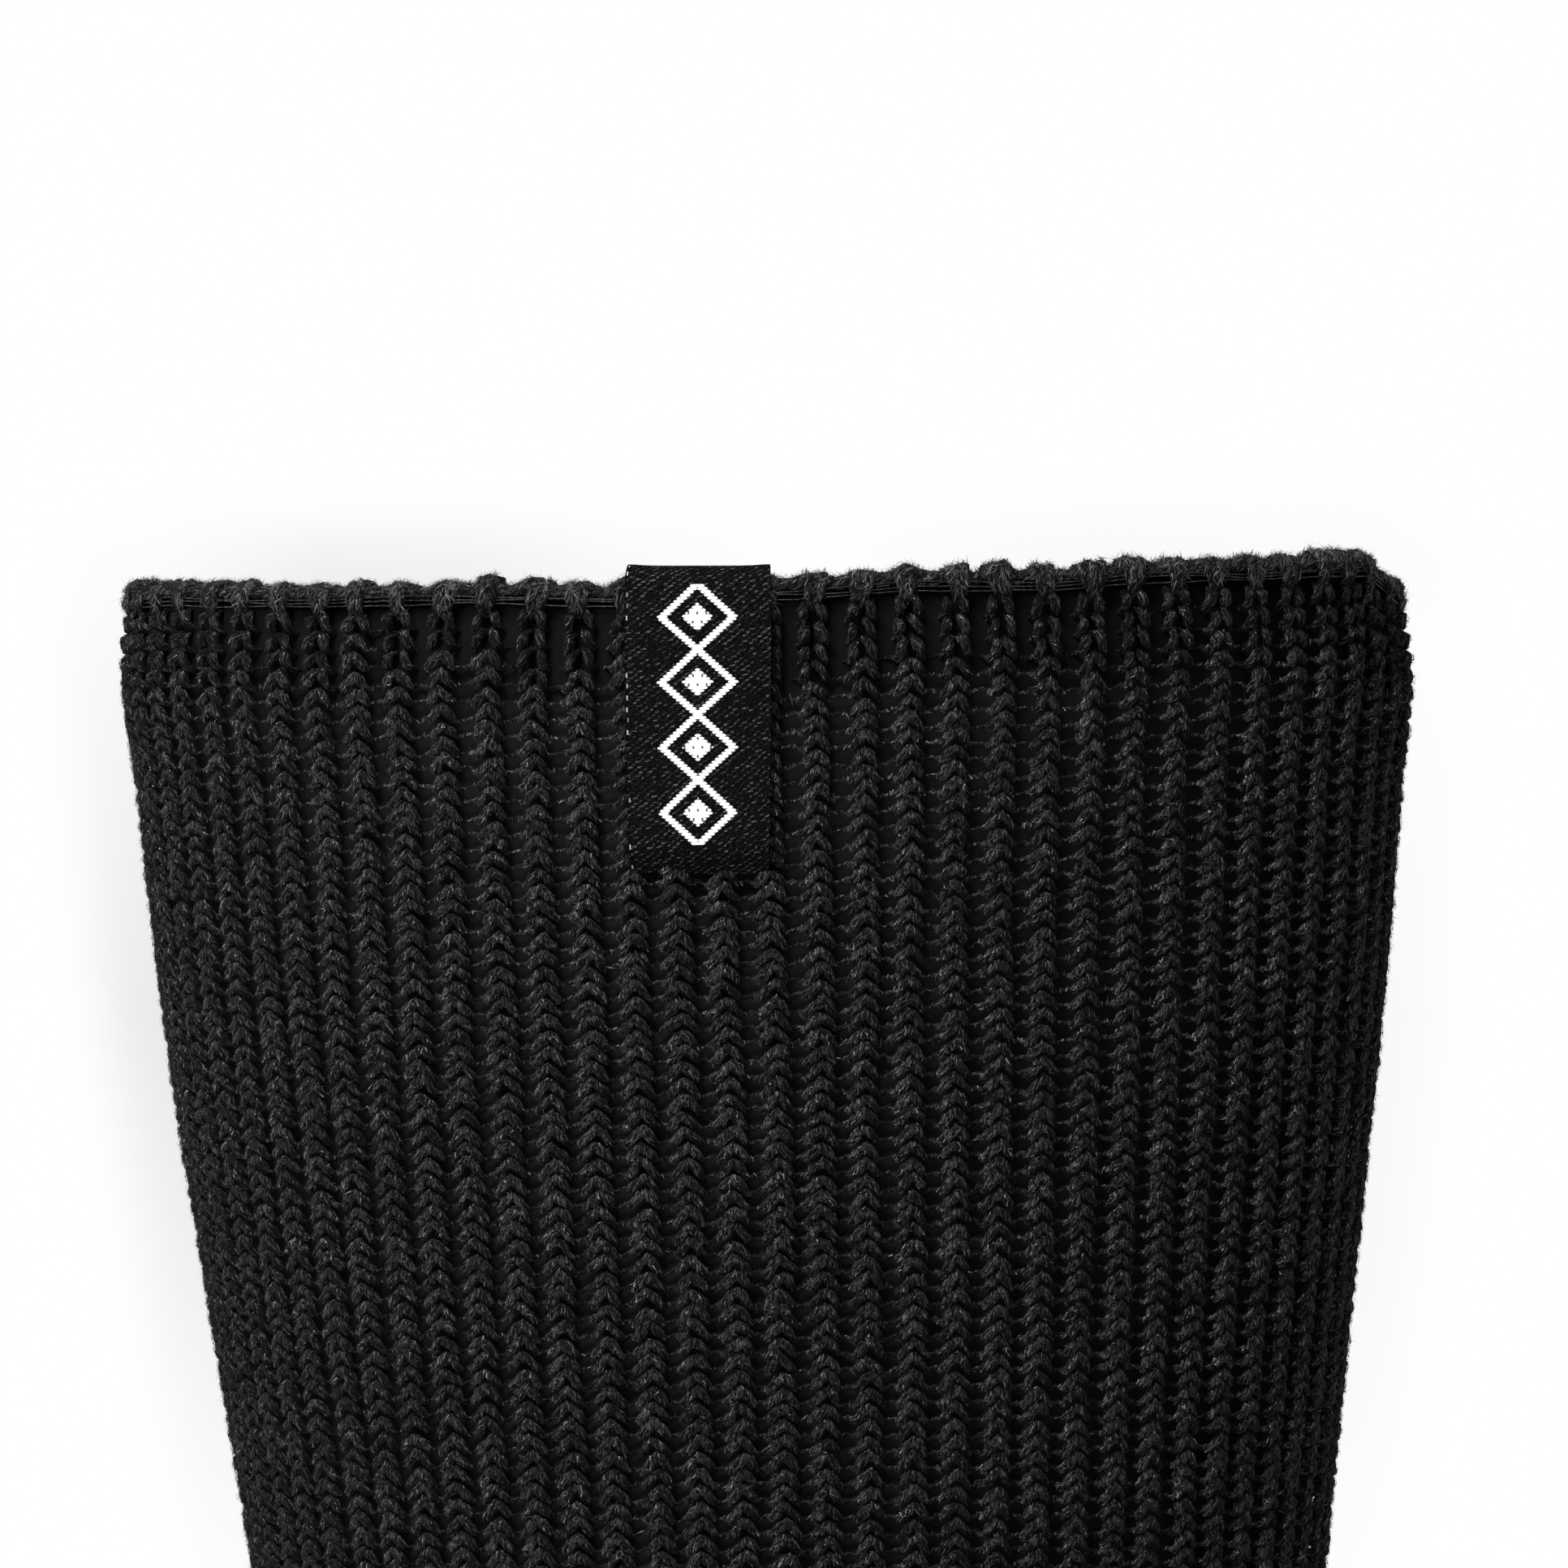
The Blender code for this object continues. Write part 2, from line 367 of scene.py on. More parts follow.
@dataclass(frozen=True)
class InsideFinish(Finish):
    """The brushed inside of the sock."""

    name: str = "black_brushed"
    dark: Triple = (0.004, 0.004, 0.0042)
    light: Triple = (0.05, 0.05, 0.052)
    relief: float = 0.7

    def shade(self, shading: Shading) -> None:
        """Sets up the material's nodes.

        Args:
            shading: the nodes.
        """
        _, _, cloth = shading.coordinates("cloth")
        loops = shading.noise(cloth, (1.0, 1.6, 1.0), 3.0, 0.6)
        pile = shading.noise(cloth, (5.0, 5.0, 5.0), 2.0, 0.6)
        lit = (loops * 0.6 + pile * 0.4).ramp(0.4, 0.68)
        colour = shading.blend(lit, self.dark, self.light)
        shading.set(Base_Color=colour, Roughness=0.95, Sheen_Weight=0.04, Specular_IOR_Level=0.04)
        shading.bump(loops * 0.7 + pile * 0.3, self.relief)


@dataclass(frozen=True)
class DepthFinish(Finish):
    """The wall behind the ribs, seen only through gaps between stitches, and darker in the edge's shade."""

    name: str = "black_wall"
    shaded: Triple = (0.007, 0.007, 0.007)
    open: Triple = (0.0112, 0.0112, 0.0112)
    shade_ends: tuple[float, float] = (4.0, 7.0)

    def shade(self, shading: Shading) -> None:
        """Sets up the material's nodes.

        Args:
            shading: the nodes.
        """
        _, course, _ = shading.coordinates("cloth")
        colour = shading.blend(course.ramp(*self.shade_ends), self.shaded, self.open)
        shading.set(Base_Color=colour, Roughness=0.95, Specular_IOR_Level=0.0)


@dataclass(frozen=True)
class ElasticFinish(Finish):
    """Thin elastic threads with a covering wound round them."""

    name: str = "grey_elastic"
    dark: Triple = (0.002, 0.002, 0.002)
    light: Triple = (0.10, 0.10, 0.102)

    def shade(self, shading: Shading) -> None:
        """Sets up the material's nodes.

        Args:
            shading: the nodes.
        """
        _, _, fibre = shading.coordinates("fibre")
        wrap = shading.noise(fibre, (3.2, 2.0, 2.0), 3.0, 0.7)
        colour = shading.blend(wrap.ramp(0.45, 0.68), self.dark, self.light)
        shading.set(Base_Color=colour, Roughness=0.4, Specular_IOR_Level=0.2)


@dataclass(frozen=True)
class LabelFinish(Finish):
    """Black twill tape with a woven chain of lozenges in white, and white ticks along its edge.

    weave has the twill's threads to a millimetre across and along, first for one way of the lattice and
    then for the other. pick is the height of one woven line, stroke and heart size the lozenges, and
    selvedge is where the ticks stand across the tape.
    """

    name: str = "black_satin_tape"
    black: Triple = (0.0016, 0.0016, 0.0017)
    # Painted highlight: the colour that the twill's threads are painted where they catch the light.
    glint_colour: Triple = (0.17, 0.17, 0.172)
    white: Triple = (0.86, 0.86, 0.86)
    speck_width: float = 0.21
    speck_height: float = 0.09
    weave: tuple[float, float, float, float] = (1.463, 1.829, 0.915, 2.561)
    dim: float = 0.10
    pick: float = 0.243
    lozenge_half_width: float = 2.9
    lozenge_length: float = 5.3
    lozenges_from: float = 2.4
    lozenges: int = 4
    stroke: float = 0.43
    heart: float = 1.6
    selvedge: float = -5.66
    tick_step: float = 0.93

    def shade(self, shading: Shading) -> None:
        """Sets up the material's nodes.

        Args:
            shading: the nodes.
        """
        across, along, tape = shading.coordinates("tape")
        glint = self.twill(shading, across, along, tape)
        ground = shading.blend(glint, self.black, self.glint_colour)
        motif, ticks = self.motif(shading, across, along), self.ticks(shading, across, along)
        white = shading.math("MAXIMUM", motif, ticks)
        colour = shading.blend(white, ground, self.white)
        shading.set(Base_Color=colour, Roughness=0.6, Specular_IOR_Level=0.0)
        shading.bump(shading.math("MAXIMUM", glint, white), 0.06)

    def twill(self, shading: Shading, across: Signal, along: Signal, tape: Socket) -> Signal:
        """Threads that catch the light, in lines that climb to the right, each with its own brightness.

        Args:
            shading: the material's nodes.
            across: how far across the tape from its middle.
            along: how far down the tape from its fold.
            tape: both of these as a vector.

        Returns:
            How brightly the ground is lit.
        """
        wander = shading.noise(tape, (2.2, 2.2, 1.0), 2.0) - 0.5
        first = across * self.weave[0] + along * self.weave[1] + wander * 1.1
        second = across * self.weave[2] - along * self.weave[3] + wander * 0.6
        bright = shading.chance({"X": first.whole(), "Y": second.whole()})
        aside, ahead = first.part() - 0.5, second.part() - 0.5
        sideways = (aside * 0.47 + ahead * 0.34) / self.speck_width
        upward = (aside * 0.33 - ahead * 0.14) / self.speck_height
        far = sideways * sideways + upward * upward
        grain = shading.noise(tape, (6.0, 11.0, 1.0), 2.0, 0.7)
        glint = (1.0 - far.ramp(0.1, 1.1)) * bright * bright * grain.ramp(0.4, 0.62, 0.15, 1.2)
        return glint + grain.ramp(0.45, 0.75) * self.dim

    def motif(self, shading: Shading, across: Signal, along: Signal) -> Signal:
        """The chain of lozenges, stepped from pick to pick with rounded thread ends.

        Args:
            shading: the material's nodes.
            across: how far across the tape from its middle.
            along: how far down the tape from its fold.

        Returns:
            1 on the lozenges and 0 off them.
        """
        line = along / self.pick
        level = (line.whole() + 0.5) * self.pick
        rounded = abs(line.part() - 0.5) * abs(line.part() - 0.5) * 0.7
        repeat = ((level - self.lozenges_from) / self.lozenge_length).part()
        taper = (1.0 - abs(repeat - 0.5) * 2.0) * self.lozenge_half_width
        outline = (abs(abs(across) - taper) + rounded).below(self.stroke)
        heart = (abs(across) - taper + self.heart + rounded).below(0.0)
        half_length = 0.5 * self.lozenges * self.lozenge_length
        shown = abs(level - (self.lozenges_from + half_length)).below(half_length)
        dot_column = abs((across / 0.72 + line.whole() * 0.5).part() - 0.5).below(0.11)
        dot_row = abs((line / 3.0).part() - 0.5).below(0.15)
        dots = dot_column * dot_row * heart
        return shading.math("MAXIMUM", outline, heart) * shown * (1.0 - dots * 0.9)

    def ticks(self, shading: Shading, across: Signal, along: Signal) -> Signal:
        """The white ticks of the selvedge, uneven in length and brightness.

        Args:
            shading: the material's nodes.
            across: how far across the tape from its middle.
            along: how far down the tape from its fold.

        Returns:
            How white the tape is there.
        """
        repeat = along / self.tick_step
        bright = shading.chance({"X": repeat.whole()})
        short = abs(repeat.part() - 0.3 - bright * 0.3).below(0.2)
        edge = abs(across - self.selvedge + (bright - 0.5) * 0.16).below(0.06)
        return short * edge * bright.ramp(0.35, 0.95) * 0.6


# Meshes


@dataclass
class MeshParts:
    """Points, faces and what the points carry, gathered before a mesh is made."""

    points: list[Array] = field(default_factory=list)
    quads: list[Array] = field(default_factory=lambda: [np.zeros((0, 4), int)])
    triangles: list[Array] = field(default_factory=lambda: [np.zeros((0, 3), int)])
    carried: dict[str, list[Array]] = field(default_factory=dict)
    count: int = 0

    def add(
        self,
        points: Array,
        quads: Array | None = None,
        triangles: Array | None = None,
        **carried: Array,
    ) -> None:
        """Adds points and the faces on them.

        Args:
            points: an array of points in millimetres.
            quads: four-sided faces, numbered from the first of these points.
            triangles: three-sided faces, numbered so too.
            carried: values at these points, by attribute name.
        """
        points = points.reshape(-1, 3)
        if quads is not None:
            self.quads.append(quads.reshape(-1, 4) + self.count)
        if triangles is not None:
            self.triangles.append(triangles.reshape(-1, 3) + self.count)
        for name, values in carried.items():
            self.carried.setdefault(name, []).append(values.reshape(len(points), -1))
        self.points.append(points)
        self.count += len(points)

    def make(self, name: str, materials: list[Material], slots: Array | None = None) -> Thing:
        """Makes the object.

        Args:
            name: the object's name.
            materials: its materials.
            slots: the material's number of each face, quads first.

        Returns:
            The object, in the scene.
        """
        points = np.concatenate(self.points) * MM
        quads = np.concatenate(self.quads)
        triangles = np.concatenate(self.triangles)
        corners = np.concatenate((quads.ravel(), triangles.ravel())).astype(np.int32)
        starts = np.concatenate((np.arange(len(quads)) * 4, quads.size + np.arange(len(triangles)) * 3))
        mesh = bpy.data.meshes.new(name)
        mesh.vertices.add(len(points))
        mesh.vertices.foreach_set("co", points.astype(np.float32).ravel())
        mesh.loops.add(len(corners))
        mesh.loops.foreach_set("vertex_index", corners)
        mesh.polygons.add(len(starts))
        mesh.polygons.foreach_set("loop_start", starts.astype(np.int32))
        if slots is not None:
            mesh.polygons.foreach_set("material_index", slots.astype(np.int32))
        for key, values in self.carried.items():
            together = np.concatenate(values).astype(np.float32)
            vector = together.shape[1] == 3
            layer = mesh.attributes.new(key, "FLOAT_VECTOR" if vector else "FLOAT", "POINT")
            layer.data.foreach_set("vector" if vector else "value", together.ravel())
        mesh.update(calc_edges=True)
        mesh.shade_smooth()
        for material in materials:
            mesh.materials.append(material)
        return put(name, mesh)


def put(name: str, data: bpy.types.ID) -> Thing:
    """Puts a new object in the scene.

    Args:
        name: its name.
        data: its mesh, light or camera.

    Returns:
        The object.
    """
    thing = bpy.data.objects.new(name, data)
    bpy.context.scene.collection.objects.link(thing)
    return thing


def grid_quads(rows: int, columns: int, closed: bool) -> Array:
    """Faces between the points of a grid.

    Args:
        rows: lines of points.
        columns: points in each line.
        closed: whether each line's last point meets its first.

    Returns:
        The faces, four point numbers each.
    """
    across = np.arange(columns if closed else columns - 1)
    after = (across + 1) % columns
    first = np.arange(rows - 1)[:, None] * columns
    below = first + columns
    return np.stack((first + across, first + after, below + after, below + across), axis=2)


def unit(vectors: Array) -> Array:
    """Vectors of length 1."""
    return vectors / np.maximum(np.linalg.norm(vectors, axis=-1, keepdims=True), 1e-9)


def walked(points: Array, axis: int) -> Array:
    """How far along lines of points each point is."""
    steps = np.linalg.norm(np.diff(points, axis=axis), axis=-1)
    return np.concatenate((0.0 * np.take(steps, [0], axis), np.cumsum(steps, axis=axis)), axis=axis)


def smooth_noise(random: np.random.Generator, shape: tuple[int, int], reach: tuple[int, int]) -> Array:
    """A grid of random numbers of size about 1, each close to its neighbours, that meets itself sideways.

    Args:
        random: the source of random numbers.
        shape: rows and columns.
        reach: how many rows and columns a lump covers.

    Returns:
        The grid.
    """
    found = random.standard_normal(shape)
    for axis, width in enumerate(reach):
        for _ in range(2):
            total = sum(np.roll(found, step, axis=axis) for step in range(-(width // 2), width // 2 + 1))
            found = total / (2 * (width // 2) + 1)
    return found / max(float(found.std()), 1e-9)


# The sock's form


@dataclass(frozen=True)
class Ring:
    """One ring of the tube, from its front point on the shin or instep to its back point.

    widest is how far the widest place lies from the back point, as a share of the way to the front.
    square is the superellipse power of the half that holds the back point.
    """

    name: str
    front_x: float
    front_z: float
    back_x: float
    back_z: float
    half_width: float
    widest: float
    square: float


@dataclass(frozen=True)
class Crease:
    """A soft trough across the cloth."""

    turn: float
    down: float
    half_turn: float
    half_down: float
    depth: float
    slant: float


@dataclass
class SockForm:
    """The surface through the crests of the ribs, worked out between the rings of the solid model."""

    wall: float = 2.8
    ribs: int = 72
    columns: int = 576
    step: float = 0.9
    edge_fade: float = 60.0
    edge_xs: Floats = (-53.0, -48.6, -36.5, -24.3, -12.2, 4.0, 12.2, 24.3, 32.4, 40.5, 50.2, 53.2)
    edge_zs: Floats = (-1.2, -1.0, -1.4, -1.1, -1.3, -0.6, 0.0, 0.1, 0.9, 0.95, 1.6, -0.9)
    tip: tuple[float, float] = (206.2, -232.6)
    rings: tuple[Ring, ...] = (
        Ring("edge", 53.4, -1.4, -53.2, -1.4, 34.4, 0.50, 2.0),
        Ring("welt", 54.1, -6.0, -53.6, -6.0, 34.6, 0.50, 2.0),
        Ring("cuff", 53.3, -17.0, -52.3, -17.0, 34.6, 0.50, 2.0),
        Ring("calf", 51.7, -37.0, -50.0, -37.0, 34.6, 0.50, 2.0),
        Ring("mid_leg", 49.35, -59.0, -46.6, -59.0, 34.6, 0.50, 2.0),
        Ring("low_leg", 46.9, -83.0, -42.6, -83.0, 34.5, 0.50, 2.0),
        Ring("ankle_top", 45.1, -105.0, -39.6, -105.0, 34.0, 0.50, 2.0),
        Ring("ankle", 45.0, -124.0, -38.4, -125.0, 33.6, 0.50, 2.0),
        Ring("ankle_low", 48.0, -139.0, -40.0, -144.0, 33.8, 0.50, 2.0),
        Ring("heel_top", 53.0, -151.0, -45.2, -165.0, 34.4, 0.49, 2.0),
        Ring("heel_back", 59.0, -160.0, -53.2, -187.0, 34.8, 0.48, 2.0),
        Ring("heel_bulge", 65.5, -167.0, -59.2, -210.0, 34.6, 0.46, 2.1),
        Ring("heel_corner", 71.0, -171.6, -58.8, -227.0, 34.2, 0.44, 2.1),
        Ring("heel_round", 76.0, -175.0, -51.6, -239.4, 34.2, 0.42, 2.1),
        Ring("heel_sole", 81.5, -178.4, -38.0, -244.6, 34.6, 0.41, 2.2),
        Ring("arch_back", 89.0, -182.5, -14.0, -245.4, 35.6, 0.39, 2.4),
        Ring("arch", 98.0, -186.8, 14.0, -244.4, 37.6, 0.38, 2.5),
        Ring("arch_front", 110.5, -192.0, 46.0, -243.6, 41.2, 0.37, 2.6),
        Ring("ball_back", 124.5, -197.2, 78.0, -244.4, 45.4, 0.37, 2.6),
        Ring("ball", 140.0, -202.4, 109.0, -245.8, 48.4, 0.38, 2.6),
        Ring("ball_front", 155.5, -207.2, 138.0, -246.0, 49.2, 0.39, 2.5),
        Ring("toe_start", 171.0, -212.0, 163.0, -245.4, 47.6, 0.41, 2.4),
        Ring("toe_box", 184.5, -216.8, 182.0, -244.4, 43.0, 0.44, 2.3),
        Ring("toe_seam", 195.0, -221.6, 195.0, -242.4, 34.6, 0.47, 2.1),
        Ring("toe_round", 201.8, -226.4, 202.4, -239.4, 22.6, 0.49, 2.0),
    )
    creases: tuple[Crease, ...] = (
        Crease(0.02, 142.0, 0.13, 2.6, 0.9, 9.0),
        Crease(-0.01, 151.5, 0.17, 3.0, 1.3, -12.0),
        Crease(0.03, 160.0, 0.12, 2.4, 1.0, 8.0),
        Crease(-0.20, 118.0, 0.09, 3.4, 0.5, 20.0),
        Crease(0.27, 126.0, 0.08, 3.0, 0.5, -16.0),
    )

    def __post_init__(self) -> None:
        """Works out the dense grid of points, its normals and the place of each ring down the tube."""
        rings = (*self.rings, Ring("tip", *self.tip, *self.tip, 0.0, 0.5, 2.0))
        front = np.array([(ring.front_x, ring.front_z) for ring in rings])
        back = np.array([(ring.back_x, ring.back_z) for ring in rings])
        shapes = np.array([(ring.half_width, ring.widest, ring.square) for ring in rings])
        self.places = 0.5 * self.wall + 0.75 * walked(front, 0) + 0.25 * walked(back, 0)
        self.length = float(self.places[-1])
        rows = int(round((self.length - self.places[0]) / self.step)) + 1
        self.downs = np.linspace(self.places[0], self.length, rows)
        table = self.between(np.concatenate((front, back, shapes), axis=1))
        grid = np.array([self.outline(row) for row in table])
        round_leg = np.gradient(np.concatenate((grid[:, -2:], grid, grid[:, :2]), axis=1), axis=1)[:, 2:-2]
        normal = np.cross(round_leg, np.gradient(grid, axis=0))
        flat = np.linalg.norm(normal, axis=2, keepdims=True) < 1e-6
        self.normal = unit(np.where(flat, np.array((1.0, 0.0, 0.0)), normal))
        self.normal[-1] = (1.0, 0.0, 0.0)
        turn = np.arange(self.columns) / self.columns
        sunk = self.crease_depth(turn[None, :], self.downs[:, None])
        self.grid = grid - sunk[:, :, None] * self.normal

    def between(self, table: Array) -> Array:
        """Reads the rings' values smoothly at every row of the grid, with no swing past a ring's own value.

        Args:
            table: a row of values for each ring.

        Returns:
            A row of values for each row of the grid.
        """
        places, steps = self.places, np.diff(self.places)
        slopes = np.gradient(table, places, axis=0)
        limits = 3.0 * np.abs(np.diff(table, axis=0) / steps[:, None])
        for index, limit in enumerate(limits):
            slopes[index : index + 2] = np.clip(slopes[index : index + 2], -limit, limit)
        index = np.clip(np.searchsorted(places, self.downs, side="right") - 1, 0, len(places) - 2)
        step = steps[index][:, None]
        share = (self.downs - places[index])[:, None] / step
        return (
            (2 * share**3 - 3 * share**2 + 1) * table[index]
            + (share**3 - 2 * share**2 + share) * slopes[index] * step
            + (3 * share**2 - 2 * share**3) * table[index + 1]
            + (share**3 - share**2) * slopes[index + 1] * step
        )

    def outline(self, row: Array) -> Array:
        """Points at even distances round one ring, from its front past the -Y side.

        Args:
            row: the front's x and z, the back's x and z, half the width, the widest place and the power.

        Returns:
            The points.
        """
        front = np.array((row[0], 0.0, row[1]))
        back = np.array((row[2], 0.0, row[3]))
        half_width, widest, square = row[4:]
        turn = np.linspace(0.0, FULL_TURN, 721)
        cosine, sine = np.cos(turn), np.sin(turn)
        power = 2.0 / square
        near = cosine >= 0.0
        along = np.where(near, (1.0 - widest) * cosine, -widest * np.abs(cosine) ** power)
        across = np.where(near, sine, np.sign(sine) * np.abs(sine) ** power)
        points = back + widest * (front - back) + np.outer(along, front - back)
        points[:, 1] -= half_width * across
        fade = np.clip(1.0 + points[:, 2] / self.edge_fade, 0.0, 1.0)
        points[:, 2] += fade * np.interp(points[:, 0], self.edge_xs, self.edge_zs)
        far = walked(points, 0)
        wanted = np.arange(self.columns) / self.columns * far[-1]
        return np.stack([np.interp(wanted, far, points[:, axis]) for axis in range(3)], axis=1)

    def crease_depth(self, turn: Array, down: Array) -> Array:
        """How far the cloth sinks into its creases.

        Args:
            turn: how far round.
            down: how far down.

        Returns:
            The depths.
        """
        depth = np.zeros(np.broadcast(turn, down).shape)
        for crease in self.creases:
            aside = (turn - crease.turn + 0.5) % 1.0 - 0.5
            line = crease.down + crease.slant * aside / 0.25
            across = (down - line) / crease.half_down
            reach = np.clip(1.0 - (aside / crease.half_turn) ** 2, 0.0, 1.0)
            depth = depth + crease.depth * reach**1.5 * np.exp(-(across**2)) * (1.0 - 0.35 * across)
        return depth

    def down_of(self, name: str) -> float:
        """How far down the tube a ring lies."""
        return float(self.places[[ring.name for ring in self.rings].index(name)])

    def look_up(self, values: Array, turn: Array, down: Array) -> Array:
        """Reads a grid of values between its points.

        Args:
            values: the grid, a row for each step down and a column for each step round.
            turn: how far round.
            down: how far down.

        Returns:
            The values there.
        """
        row = (down - self.downs[0]) / (self.downs[1] - self.downs[0])
        row = np.clip(row, 0.0, len(self.downs) - 1.001)
        column = (turn % 1.0) * self.columns
        top, left = np.floor(row).astype(int), np.floor(column).astype(int)
        row_share, column_share = (row - top)[..., None], (column - left)[..., None]
        left, right = left % self.columns, (left + 1) % self.columns
        upper = values[top, left] * (1 - column_share) + values[top, right] * column_share
        lower = values[top + 1, left] * (1 - column_share) + values[top + 1, right] * column_share
        return upper * (1 - row_share) + lower * row_share

    def place(self, turn: Array | float, down: Array | float, out: Array | float) -> tuple[Array, Array]:
        """Points on or near the surface.

        Args:
            turn: how far round.
            down: how far down.
            out: how far out.

        Returns:
            The points and the outward directions there.
        """
        turn, down, out = np.broadcast_arrays(turn, down, out)
        normal = unit(self.look_up(self.normal, turn, down))
        points = self.look_up(self.grid, turn, down) + out[..., None] * normal
        points[..., 2] += np.maximum(self.places[0] - down, 0.0)
        return points, normal

    def over_edge(self, turn: Array | float, angle: Array, radius: Array | float) -> tuple[Array, Array]:
        """Points round the turned edge.

        Args:
            turn: how far round the leg.
            angle: 0 on the outside of the leg, a quarter turn on top of the edge, half a turn inside.
            radius: how far from the middle of the edge's roll.

        Returns:
            The points and the directions away from the roll's middle.
        """
        turn, angle, radius = np.broadcast_arrays(turn, angle, radius)
        down = np.full(turn.shape, self.places[0])
        level = unit(self.look_up(self.normal, turn, down) * (1.0, 1.0, 0.0))
        middle = self.look_up(self.grid, turn, down) - 0.5 * self.wall * level
        away = np.cos(angle)[..., None] * level + np.sin(angle)[..., None] * np.array((0.0, 0.0, 1.0))
        return middle + radius[..., None] * away, away


# Yarn


@dataclass(frozen=True)
class Bend:
    """One point of a stitch.

    across is in ribs from the rib's middle, and rise, out and radius are in millimetres. tone is the
    brightness there, into which shade and light are painted.
    """

    across: float
    rise: float
    out: float
    radius: float
    tone: float


# Where the fibres of a stitch fan out from: in millimetres across it and above it.
FAN_ACROSS = -0.3
FAN_ABOVE = 2.3
# Painted shade and light: the tones darken each stitch's deep points between the ribs and make one leg
# lighter than the other, as if lit from that side.
RIB_STITCH = (
    Bend(-0.50, 0.00, -1.12, 0.15, 0.8),
    Bend(-0.425, -0.10, -1.02, 0.16, 0.6),
    Bend(-0.365, -0.22, -0.86, 0.23, 0.5),
    Bend(-0.31, -0.12, -0.66, 0.33, 0.7),
    Bend(-0.23, 0.26, -0.54, 0.42, 0.85),
    Bend(-0.13, 0.70, -0.48, 0.47, 0.95),
    Bend(-0.01, 0.98, -0.54, 0.51, 1.1),
    Bend(0.105, 0.74, -0.46, 0.48, 1.25),
    Bend(0.20, 0.32, -0.38, 0.46, 1.35),
    Bend(0.285, -0.06, -0.42, 0.41, 1.25),
    Bend(0.335, -0.10, -0.86, 0.23, 0.9),
    Bend(0.42, 0.02, -1.02, 0.17, 1.0),
)
# Painted shade: the tones make the welt's deep points nearly black and its proud legs full.
WELT_STITCH = (
    Bend(-0.50, -0.10, -2.20, 0.12, 0.1),
    Bend(-0.42, -0.10, -2.10, 0.16, 0.1),
    Bend(-0.33, -0.15, -1.50, 0.26, 0.5),
    Bend(-0.275, 0.35, -0.60, 0.44, 1.0),
    Bend(-0.225, 0.95, -0.42, 0.47, 1.0),
    Bend(-0.17, 1.50, -1.10, 0.32, 0.7),
    Bend(0.00, 1.60, -2.40, 0.18, 0.1),
    Bend(0.17, 1.50, -1.10, 0.32, 0.7),
    Bend(0.225, 0.95, -0.42, 0.47, 1.0),
    Bend(0.275, 0.35, -0.60, 0.44, 1.0),
    Bend(0.33, -0.15, -1.50, 0.26, 0.5),
    Bend(0.42, -0.10, -2.10, 0.16, 0.1),
)


class Detail(Enum):
    """How finely a stretch of yarn is made."""

    CLOSE = (12, 4, 125, 0.055, 1.0)
    MIDDLE = (6, 4, 5, 0.12, 1.9)
    PLAIN = (6, 3, 3, 0.12, 2.0)

    def __init__(self, points: int, sides: int, fibres: int, width: float, gain: float) -> None:
        """Names the numbers.

        Args:
            points: points along a stitch.
            sides: sides of the yarn.
            fibres: loose fibres on a stitch.
            width: a fibre's usual width in millimetres.
            gain: how many times lighter the yarn is made, to be as light as yarn with more fibres on it.
        """
        self.points = points
        self.sides = sides
        self.fibres = fibres
        self.width = width
        self.gain = gain


def stitch_line(bends: tuple[Bend, ...], points: int) -> Array:
    """A stitch from one valley to the next, as rows of a bend's values."""
    line = np.array([(bend.across, bend.rise, bend.out, bend.radius, bend.tone) for bend in bends])
    return line[:: len(line) // points]


@dataclass(frozen=True)
class Fluff:
    """The loose fibres on a stretch of yarn: how many, their usual length and width, and how they lie.

    flyaways is the share that is long, slim and loose. stand is how far the others stand off the yarn, as
    a share of their length, and brightness is the logarithm of their usual tone.
    """

    total: int
    length: float = 0.42
    width: float = 0.055
    flyaways: float = 0.14
    stand: float = 0.03
    brightness: float = -1.9


